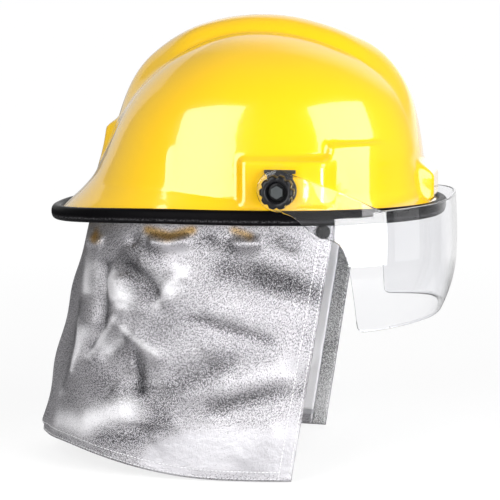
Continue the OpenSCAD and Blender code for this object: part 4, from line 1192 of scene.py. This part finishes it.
# ------------------------------------------------------------------ hand wheels
def turned(name, prof, mat, side, body, nodes=(), slot=None, nseg=144, shape=None, hexa=None):
    """A wheel turned about the pivot axis: prof holds (x, r); shape(theta, r, x) may change r."""
    th = np.arange(nseg) * 2 * np.pi / nseg
    verts, faces = [], []
    m = len(prof)
    for t in th:
        for x, r in prof:
            q = shape(t, r, x) if shape else r
            verts.append((side * x, PIV[1] + q * np.cos(t), PIV[2] + q * np.sin(t)))
    for i in range(nseg):
        j = (i + 1) % nseg
        for k in range(m):
            n = (k + 1) % m
            faces.append((i * m + k, i * m + n, j * m + n, j * m + k))
    o = mesh_obj(name, verts, faces, mat, body=body, nodes=nodes, sharp=50)
    outward(o)
    return o


def lobed(t, r, x):
    """Ten finger hollows round the rim, softened at the edges; the inside of the wheel stays round."""
    if r < 9.6:
        return r
    c = (t * 10 / (2 * np.pi)) % 1.0
    d = abs(c - 0.5) * 2
    s = 1 - min(max((d - 0.0) / 0.62, 0), 1)
    s = s * s * (3 - 2 * s)
    return r - 1.75 * s * (r - 9.6) / 4.3


def hex_prism(name, x0, x1, apo, mat, side, body, nodes=(), cham=0.5, hollow=None):
    """Hexagon head with a chamfered, slightly domed face."""
    rows = [(x0, apo, 6), (x1 - cham, apo, 6), (x1, apo - cham * 0.9, 6), (x1 + 0.02, apo - 1.6, 0)]
    n = 96
    verts, faces = [], []
    for x, a, k in rows:
        for i in range(n):
            t = 2 * np.pi * i / n
            u = (t + np.pi / 6) % (np.pi / 3) - np.pi / 6
            r = a / np.cos(u) if k else a
            r = min(r, a * 1.125) if k else r
            verts.append((side * x, PIV[1] + r * np.cos(t), PIV[2] + r * np.sin(t)))
    for q in range(len(rows) - 1):
        for i in range(n):
            j = (i + 1) % n
            faces.append((q * n + i, q * n + j, (q + 1) * n + j, (q + 1) * n + i))
    faces.append(tuple(range(n - 1, -1, -1)))
    faces.append(tuple((len(rows) - 1) * n + i for i in range(n)))
    o = mesh_obj(name, verts, faces, mat, body=body, nodes=nodes, sharp=28)
    outward(o)
    return o


def rod(x0, x1, r, side, rings=14):
    """Threaded shank from x0 to x1: fine turns cut into a rod."""
    n, pitch = 28, 1.0
    xs = np.arange(x0, x1 + 0.01, 0.25)
    verts, faces = [], []
    for x in xs:
        for i in range(n):
            t = 2 * np.pi * i / n
            ph = ((x / pitch) - i / n) % 1.0
            q = r - 0.42 * abs(ph - 0.5) * 2 * (1 if x < 118 else 0)
            verts.append((side * x, PIV[1] + q * np.cos(t), PIV[2] + q * np.sin(t)))
    m = len(xs)
    for k in range(m - 1):
        for i in range(n):
            j = (i + 1) % n
            faces.append((k * n + i, k * n + j, (k + 1) * n + j, (k + 1) * n + i))
    faces.append(tuple(range(n - 1, -1, -1)))
    faces.append(tuple((m - 1) * n + i for i in range(n)))
    return verts, faces


def build_knobs():
    R = 13.85
    prof = [(130.35, 3.1), (130.35, 9.5), (130.5, R - 1.0), (130.8, R - 0.35), (131.4, R), (134.5, R), (138.3, R), (139.5, R - 0.3),
            (140.3, R - 0.9), (140.8, R - 1.8), (140.95, R - 2.9), (140.8, 9.5), (140.5, 9.0), (140.0, 8.55), (139.2, 8.25), (136.5, 8.1),
            (134.6, 8.05), (134.1, 7.7), (134.02, 7.2), (134.0, 3.1)]
    for side, tag in ((-1, "right"), (1, "left")):
        body = "knob_" + tag
        turned("hand_wheel_" + tag, prof, M_KNOB, side, body, ["visor_knob_" + tag], "knob_plastic", shape=lobed, nseg=240)
        hex_prism("bolt_head_" + tag, 134.0, 137.95, 5.0, M_BOLT, side, body, ["pivot_bolt_" + tag])
        v, f = rod(105.1, 134.0, 2.97, side)
        sh = mesh_obj("bolt_shank_" + tag, v, f, M_STEEL, body=body, sharp=40)
        outward(sh)
        wprof = [(133.95, 5.0), (133.95, 7.4), (134.35, 7.5), (134.45, 7.3), (134.45, 5.3)]
        w = turned("wheel_seat_" + tag, wprof, M_KNOB, side, body, nseg=72)


build_knobs()


# ------------------------------------------------------------------ foam liner
def bofs(k, a, d):
    return base(k, a) - bnrm(k, a) * d


def build_liner():
    nc = 360
    a = np.arange(nc) * 360.0 / nc
    ks = np.linspace(5.5, 16, 60)
    K, A = ks[:, None], a[None, :]
    inn0 = bofs(K, A, 17.0)
    nrm = bnrm(K + 0 * A, A + 0 * K)
    # shallow air channels: across the crown front to back and round the wall, and a softened lower edge
    ang = np.degrees(np.arctan2(inn0[..., 1] + 12, inn0[..., 0]))
    ch = np.zeros(inn0.shape[:2])
    for c in (0, 36, 72, 108, 144, 180, -36, -72, -108, -144):
        d = np.abs((ang - c + 180) % 360 - 180) * np.radians(1) * np.hypot(inn0[..., 0], inn0[..., 1] + 12)
        ch = np.maximum(ch, 1 - ss(2.4, 4.2, d))
    ch *= ss(6.2, 7.2, K + 0 * A) * (1 - ss(13.2, 14.2, K + 0 * A))
    ring = np.exp(-((K + 0 * A - 7.2) / 0.18) ** 2)
    dep = 17.0 - 2.6 * ch - 1.6 * ring
    low = 1 - ss(5.5, 5.75, K + 0 * A)
    inner = base(K, A) - nrm * (dep - 2.6 * low)[..., None]
    outer = bofs(K, A, WALL + 1.25) - nrm * (1.4 * low)[..., None]
    n = len(ks)
    v = np.concatenate([inner.reshape(-1, 3), outer.reshape(-1, 3), [[0, -12, 148.5 - 17.0], [0, -12, 148.5 - WALL - 1.25]]])
    f = [tuple(reversed(q)) for q in grid_faces(n, nc, True)]
    f += grid_faces(n, nc, True, n * nc)
    f += [((c + 1) % nc, c, n * nc + c, n * nc + (c + 1) % nc) for c in range(nc)]
    p1, p2 = 2 * n * nc, 2 * n * nc + 1
    f += [((n - 1) * nc + (c + 1) % nc, (n - 1) * nc + c, p1) for c in range(nc)]
    f += [(n * nc + (n - 1) * nc + c, n * nc + (n - 1) * nc + (c + 1) % nc, p2) for c in range(nc)]
    o = mesh_obj("impact_liner_foam", v, f, M_FOAM, nodes=["impact_liner"], sharp=55)
    return o


build_liner()


# ------------------------------------------------------------------ cradle, pads and chin strap
BA_, BB_, CZ = 100.0, 79.0, 110.0


def hb(a, o):
    a = np.radians(a)
    e = 2 / 2.2
    return np.stack([(BB_ + o) * spow(np.cos(a), e), (BA_ + o) * spow(np.sin(a), e)], -1)


def ring_r(t):
    t = np.radians(t)
    return ((abs(np.cos(t)) / 88) ** 2.2 + (abs(np.sin(t)) / 107) ** 2.2) ** (-1 / 2.2)


def build_cradle():
    for i, t in enumerate((0, 54, 126)):
        r, h = ring_r(t), CZ - 16
        q = np.radians(np.linspace(0, 180, 150))
        # each strap lies on the one before it at the crown
        X, Z = r * spow(np.cos(q), 2 / 2.3), 16 + h * spow(np.sin(q), 2 / 2.3)
        g = np.stack([np.gradient(X), np.gradient(Z)], -1)
        g /= np.linalg.norm(g, axis=-1, keepdims=True)
        d = np.array([math.cos(math.radians(t)), math.sin(math.radians(t)), 0])
        w = np.array([-d[1], d[0], 0])
        cen = X[:, None] * d + Z[:, None] * np.array([0, 0, 1.0])
        out = g[:, 1:2] * d * 1.0 + (-g[:, 0:1]) * np.array([0, 0, 1.0])
        lift = (i - 1) * 0.42 * np.exp(-(X / 24.0) ** 2)
        cen = cen + out * lift[:, None]
        o = ring_strip("crown_strap_%d" % (i + 1), cen, w, out, 19.6, 0.46 if i == 1 else 0.46, M_WEB, edge=0.2)
        if i == 0:
            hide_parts("crown_straps")
        # bar stitches near both ends
        for e, sg in ((0, 1), (1, -1)):
            k = np.argmin(np.abs(np.where(X * sg > 0, Z, 1e3) - 34))
            rows = []
            for b in (-2.6, 0.0, 2.6):
                kk = k + int(b * 0.6)
                p = cen[kk] + w * np.linspace(-8, 8, 30)[:, None]
                rows.append((p, np.repeat(out[kk][None], 30, 0)))
            for j, (p, nn) in enumerate(rows):
                s = stitches("crown_stitch_%d_%d_%d" % (i, e, j), p, nn, step=1.7, length=1.2, rad=0.22, mat=M_DTHREAD, lift=0.28)


def build_patch():
    """Sewn disc over the crossing: two layers with a raised rolled edge and a ring of stitches."""
    z0 = CZ + 0.95
    prof = [(0.0, z0), (15.8, z0), (16.6, z0 + 0.15), (16.95, z0 + 0.7), (16.6, z0 + 1.3), (15.8, z0 + 1.5), (14.9, z0 + 1.25),
            (14.0, z0 + 1.15), (9.0, z0 + 1.35), (0.0, z0 + 1.5)]
    n = 120
    v, f = [], []
    for r, z in prof:
        for i in range(n):
            t = 2 * math.pi * i / n
            v.append((r * math.cos(t), r * math.sin(t), z))
    for q in range(len(prof) - 1):
        for i in range(n):
            j = (i + 1) % n
            f.append((q * n + i, q * n + j, (q + 1) * n + j, (q + 1) * n + i))
    o = mesh_obj("crown_patch_disc", v, f, M_PATCH, nodes=["crown_patch"])
    bm = bmesh.new()
    bm.from_mesh(o.data)
    bmesh.ops.remove_doubles(bm, verts=bm.verts, dist=0.00001)
    bmesh.ops.recalc_face_normals(bm, faces=bm.faces)
    bm.to_mesh(o.data)
    bm.free()
    for nm, rr in (("outer", 13.2), ("inner", 5.0)):
        t = np.linspace(0, 2 * np.pi, 120)
        run = np.stack([rr * np.cos(t), rr * np.sin(t), 0 * t + z0 + (1.2 if nm == "outer" else 1.42)], -1)
        s = stitches("patch_stitch_" + nm, run, np.tile([0, 0, 1.0], (120, 1)), step=2.4, length=1.7, rad=0.24, mat=M_DTHREAD)


def build_brow():
    """Comfort pad inside the brow: crowned between sewn channels, thin at both hems."""
    nu, nv = 260, 40
    a = np.linspace(198, 342, nu)
    v = np.linspace(0, 1, nv)
    A, V = np.meshgrid(a, v, indexing="ij")
    s = (A - 270) / 144 * 2 * 90
    chan = np.zeros_like(A)
    for c in np.arange(-60, 61, 20):
        chan = np.maximum(chan, np.exp(-((s - c * 1.17) / 1.5) ** 2))
    end = ss(198, 202, A) * (1 - ss(338, 342, A))
    crown = np.sqrt(np.clip(1 - (2 * V - 1) ** 4, 0, 1)) * np.sqrt(np.clip(end, 0, 1))
    th = 0.9 + 2.3 * crown * (1 - 0.62 * chan * ss(0.0, 0.12, V) * (1 - ss(0.88, 1, V)))
    z = 0.8 + 24.4 * V
    back = -0.3
    p_in = np.concatenate([hb(A, back - th), z[..., None]], -1)
    p_out = np.concatenate([hb(A, back + 0 * A), z[..., None]], -1)
    verts = np.concatenate([p_in.reshape(-1, 3), p_out.reshape(-1, 3)])
    f = []
    m = nu * nv
    for i in range(nu - 1):
        for j in range(nv - 1):
            q = i * nv + j
            f.append((q, q + 1, q + nv + 1, q + nv))
            f.append((m + q, m + q + nv, m + q + nv + 1, m + q + 1))
    for i in range(nu - 1):
        for j in (0, nv - 1):
            q = i * nv + j
            f.append((q, q + nv, m + q + nv, m + q))
    for j in range(nv - 1):
        for i in (0, nu - 1):
            q = i * nv + j
            f.append((q, q + 1, m + q + 1, m + q))
    o = mesh_obj("brow_pad_cushion", verts, f, M_PAD, nodes=["brow_pad"], sharp=60)
    outward(o)
    uv = np.stack([s, z], -1).reshape(-1, 2)
    uv_layer(o, np.concatenate([uv, uv]))


def cushion(name, size, res, nodes, place, pull=1.0, seed=0):
    """Stuffed pad in the box size (mm): cloth simulation inside a crowned start, then one subdivision."""
    w, h, t = size
    nx, ny = res
    v, f = [], []
    xs, ys = np.linspace(-1, 1, nx), np.linspace(-1, 1, ny)
    for s in (1, -1):
        for y in ys:
            for x in xs:
                e = max(abs(x), abs(y))
                k = (1 - abs(x) ** 5) * (1 - abs(y) ** 5)
                px = x * (w / 2 - 1.2) * (1 - 0.035 * (1 - abs(y)) * pull * abs(x) ** 3)
                py = y * (h / 2 - 1.2) * (1 - 0.035 * (1 - abs(x)) * pull * abs(y) ** 3)
                v.append((px, py, s * (0.35 + (t / 2 - 0.75) * max(k, 0) ** 0.45)))
    for q in range(2):
        o = q * nx * ny
        for j in range(ny - 1):
            for i in range(nx - 1):
                a = o + j * nx + i
                f.append((a, a + 1, a + nx + 1, a + nx) if q == 0 else (a, a + nx, a + nx + 1, a + 1))
    rim = [j * nx + 0 for j in range(ny)] + [(ny - 1) * nx + i for i in range(1, nx)] + [j * nx + nx - 1 for j in range(ny - 2, -1, -1)] \
        + [i for i in range(nx - 2, 0, -1)]
    n2 = nx * ny
    for k in range(len(rim)):
        a, b = rim[k], rim[(k + 1) % len(rim)]
        f.append((a, b, n2 + b, n2 + a))
    o = mesh_obj(name, v, f, M_PAD, body=None)
    outward(o)
    base_co = np.array([tuple(x.co) for x in o.data.vertices]) / MM
    cm = o.modifiers.new("cloth", "CLOTH")
    cs = cm.settings
    cs.quality, cs.mass, cs.use_pressure, cs.uniform_pressure_force = 6, 0.2, True, 3.0
    cs.tension_stiffness = cs.compression_stiffness = 30
    cs.effector_weights.gravity = 0
    cm.point_cache.frame_start, cm.point_cache.frame_end = 1, 16
    sc = bpy.context.scene
    for fr in range(1, 17):
        sc.frame_set(fr)
    dg = bpy.context.evaluated_depsgraph_get()
    ev = o.evaluated_get(dg)
    co = np.array([tuple(x.co) for x in ev.data.vertices]) / MM
    o.modifiers.remove(cm)
    d = co - base_co
    ln = np.linalg.norm(d, axis=1, keepdims=True)
    d = d * np.minimum(1, 0.8 / np.maximum(ln, 1e-6))
    co = base_co + d
    base_co = np.clip(co, [-w / 2, -h / 2, -t / 2], [w / 2, h / 2, t / 2])
    sc.frame_set(1)
    uv_layer(o, base_co[:, :2] + np.array([w, h]))
    pl = np.array([place(c) for c in base_co]) * MM
    o.data.vertices.foreach_set("co", pl.ravel())
    sd = o.modifiers.new("sub", "SUBSURF")
    sd.levels = sd.render_levels = 1
    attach(o, "helmet")
    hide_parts(*nodes)
    outward(o)
    return o


def build_pads():
    build_brow()
    o = cushion("nape_pad_cushion", (54, 30, 5), (44, 26), ["nape_pad"], lambda c: (c[0], 99.5 - c[2], 8.0 + c[1]))


SY, SW = 22.0, 18.0
SP = np.array([[104.1, -6], [103.9, -13], [103.2, -20], [102, -27], [76, -84], [70, -94], [61, -102], [50, -107.5], [36, -111.5],
               [18, -113.6], [0, -114.2]], float)
BC, BTILT = np.array([89.2, -55.6]), math.radians(24.9)
BU = np.array([math.sin(BTILT), math.cos(BTILT)])


def strap(name, pts, nodes, dense=6):
    p = smooth_line(pts, dense)
    g = np.gradient(p, axis=0)
    g /= np.linalg.norm(g, axis=1, keepdims=True)
    cen = np.stack([p[:, 0], 0 * p[:, 0] + SY, p[:, 1]], -1)
    out = np.stack([-g[:, 1], 0 * g[:, 0], g[:, 0]], -1)
    o = ring_strip(name, cen, [0, 1, 0], out, SW - 0.2, 1.5, M_WEB, body="chin_strap", nodes=nodes, edge=0.45)
    return cen, out


def build_chin():
    up = np.array([SP[0], SP[1], SP[2], SP[3], BC + BU * 22.2])
    lo = np.concatenate([[BC - BU * 20.2], SP[4:11], [(-x, z) for x, z in SP[9::-1]]])
    c1, o1 = strap("chin_webbing_upper", up, ["chin_strap_upper"])
    c2, o2 = strap("chin_webbing_lower", lo, ["chin_strap_lower"])
    n = 0
    for cen, out, idx in ((c1, o1, 3), (c1, o1, 6), (c1, o1, len(c1) - 4), (c2, o2, 3), (c2, o2, len(c2) - 4), (c2, o2, len(c2) - 7)):
        for side in (0.85, -0.85):
            p = cen[idx] + np.array([0, 1.0, 0]) * np.linspace(-7, 7, 26)[:, None]
            s = stitches("chin_stitch_%d" % n, p, np.repeat((out[idx] * np.sign(side))[None], 26, 0), step=1.8, length=1.3, rad=0.22,
                         mat=M_DTHREAD, body="chin_strap", lift=abs(side))
            n += 1


build_cradle()
build_patch()
build_pads()
build_chin()

# ------------------------------------------------------------------ studio
def light(name, az, el, dist, w, h, power, col=(1, 1, 1), aim=(0, 0, 0), tilt=None, roll=0):
    """Soft box seen from the object towards azimuth az (from +X to +Y) and elevation el, facing down by tilt."""
    a, e = math.radians(az), math.radians(el)
    d = Vector((math.cos(a) * math.cos(e), math.sin(a) * math.cos(e), math.sin(e)))
    ld = bpy.data.lights.new(name, "AREA")
    ld.shape, ld.size, ld.size_y, ld.energy, ld.color = "RECTANGLE", w, h, power, col
    lo = bpy.data.objects.new(name, ld)
    bpy.context.scene.collection.objects.link(lo)
    lo.location = Vector(aim) + d * dist
    e = e if tilt is None else math.radians(tilt)
    d = Vector((math.cos(a) * math.cos(e), math.sin(a) * math.cos(e), math.sin(e)))
    lo.rotation_euler = (d.to_track_quat("Z", "Y").to_matrix() @ Matrix.Rotation(math.radians(roll), 3, "Z")).to_euler()
    lo.visible_camera = False
    return lo


light("softbox_rear", 154.5, 14, 1.25, 0.80, 1.36, 14.2, aim=(0, 0, 0.05), tilt=22, roll=7)
light("softbox_front", -124, 20.4, 1.25, 1.00, 1.02, 13.2, aim=(0, 0, 0.05), tilt=22, roll=-4)
light("softbox_low", -143, 0, 0.905, 0.53, 0.15, 3.0, aim=(0, 0, -0.085))
light("softbox_far_a", 38, 22, 1.6, 1.2, 1.0, 1.5)
light("softbox_far_b", -30, 22, 1.6, 1.2, 1.0, 2.5).visible_glossy = False
fill = light("fill_front", -104, 6, 1.3, 0.7, 0.7, 2.4)
fill.visible_glossy = False

world = bpy.data.worlds.new("studio")
bpy.context.scene.world = world
world.use_nodes = True
wt = world.node_tree
bg = wt.nodes["Background"]
geo = wt.nodes.new("ShaderNodeTexCoord")
dot = wt.nodes.new("ShaderNodeVectorMath")
dot.operation = "DOT_PRODUCT"
dot.inputs[1].default_value = (math.cos(TH), math.sin(TH), 0.0)
wt.links.new(geo.outputs["Generated"], dot.inputs[0])
mr = wt.nodes.new("ShaderNodeMapRange")
for nm, val in (("From Min", -0.55), ("From Max", 0.35), ("To Min", 0.13), ("To Max", 0.30)):
    mr.inputs[nm].default_value = val
wt.links.new(dot.outputs["Value"], mr.inputs["Value"])


def glow(az, el, a0, a1, amount):
    """A soft bright zone of the backdrop round a direction, from a0 to a1 degrees away."""
    az, el = math.radians(az), math.radians(el)
    d = wt.nodes.new("ShaderNodeVectorMath")
    d.operation = "DOT_PRODUCT"
    d.inputs[1].default_value = (math.cos(az) * math.cos(el), math.sin(az) * math.cos(el), math.sin(el))
    wt.links.new(geo.outputs["Generated"], d.inputs[0])
    r = wt.nodes.new("ShaderNodeMapRange")
    r.interpolation_type = "SMOOTHSTEP"
    for nm, val in (("From Min", math.cos(math.radians(a1))), ("From Max", math.cos(math.radians(a0))),
                    ("To Min", 0.0), ("To Max", amount)):
        r.inputs[nm].default_value = val
    wt.links.new(d.outputs["Value"], r.inputs["Value"])
    return r.outputs["Result"]


sky = mr.outputs["Result"]
for part in (glow(-8, 34, 10, 38, 0.9), glow(9, 0, 6, 15, 0.6), glow(-14, -3, 8, 30, 0.8)):
    amb = wt.nodes.new("ShaderNodeMath")
    amb.operation = "ADD"
    wt.links.new(sky, amb.inputs[0])
    wt.links.new(part, amb.inputs[1])
    sky = amb.outputs[0]
lp = wt.nodes.new("ShaderNodeLightPath")
mx = wt.nodes.new("ShaderNodeMath")
mx.operation = "MAXIMUM"
wt.links.new(lp.outputs["Is Camera Ray"], mx.inputs[0])
wt.links.new(lp.outputs["Is Transmission Ray"], mx.inputs[1])
ml = wt.nodes.new("ShaderNodeMix")
ml.data_type = "FLOAT"
wt.links.new(mx.outputs[0], ml.inputs[0])
wt.links.new(sky, ml.inputs[2])
ml.inputs[3].default_value = 1.0
wt.links.new(ml.outputs[0], bg.inputs["Strength"])
bg.inputs["Color"].default_value = (0.985, 0.99, 1.0, 1)

floor_me = bpy.data.meshes.new("floor")
FZ, R0 = -0.2172, 30.0
floor_me.from_pydata([(-R0, -R0, FZ), (R0, -R0, FZ), (R0, R0, FZ), (-R0, R0, FZ)], [], [(0, 1, 2, 3)])
floor = bpy.data.objects.new("floor", floor_me)
bpy.context.scene.collection.objects.link(floor)
fm = Nodes("floor_pale")
# bright white to the eye, with a soft shadow under the object; a mid grey to reflections, as a floor outside the lights is
rad = fm.n("VectorMath", operation="LENGTH")
fm.link(fm.co, rad.inputs[0])
fade = fm.rng(rad.outputs["Value"], 0.35, 1.3, 0.0, 1.0)
fm.set(base=fm.mix(fade, fm.mix(fm.noise(3.0, 3), (0.26, 0.26, 0.26), (0.28, 0.28, 0.28)), (0.01, 0.01, 0.01)), rough=0.95, spec=0.0)
fm.p.inputs["Emission Color"].default_value = (1, 1, 1, 1)
fm.link(fm.rng(rad.outputs["Value"], 0.35, 1.3, 0.77, 1.0), fm.p.inputs["Emission Strength"])
fd = fm.n("BsdfDiffuse")
fm.link(fm.mix(fm.rng(rad.outputs["Value"], 0.5, 1.2, 0.0, 1.0), (0.60, 0.60, 0.605), (0.16, 0.16, 0.162)), fd.inputs["Color"])
fl, fx, fmx = fm.n("LightPath"), fm.n("MixShader"), fm.n("Math", operation="MAXIMUM")
fm.link(fl.outputs["Is Camera Ray"], fmx.inputs[0])
fm.link(fl.outputs["Is Transmission Ray"], fmx.inputs[1])
fm.link(fmx.outputs[0], fx.inputs["Fac"])
# the far side of the floor is as bright as the backdrop behind it
fn = fm.n("VectorMath", operation="NORMALIZE")
fm.link(fm.co, fn.inputs[0])
fdot = fm.n("VectorMath", operation="DOT_PRODUCT")
fm.link(fn.outputs["Vector"], fdot.inputs[0])
fdot.inputs[1].default_value = (math.cos(math.radians(-15)), math.sin(math.radians(-15)), 0.0)
fem = fm.n("Emission")
fm.link(fm.math("MULTIPLY", fm.rng(fdot.outputs["Value"], math.cos(math.radians(42)), math.cos(math.radians(22)), 0.0, 0.85),
                fm.rng(rad.outputs["Value"], 0.8, 1.3, 0.0, 1.0)), fem.inputs["Strength"])
fadd = fm.n("AddShader")
fm.link(fd.outputs["BSDF"], fadd.inputs[0])
fm.link(fem.outputs["Emission"], fadd.inputs[1])
fm.link(fadd.outputs["Shader"], fx.inputs[1])
fm.link(fm.p.outputs["BSDF"], fx.inputs[2])
fm.link(fx.outputs["Shader"], fm.out.inputs["Surface"])
floor_me.materials.append(fm.m)

bpy.context.scene.view_settings.view_transform = "Standard"
bpy.context.scene.view_settings.look = "None"
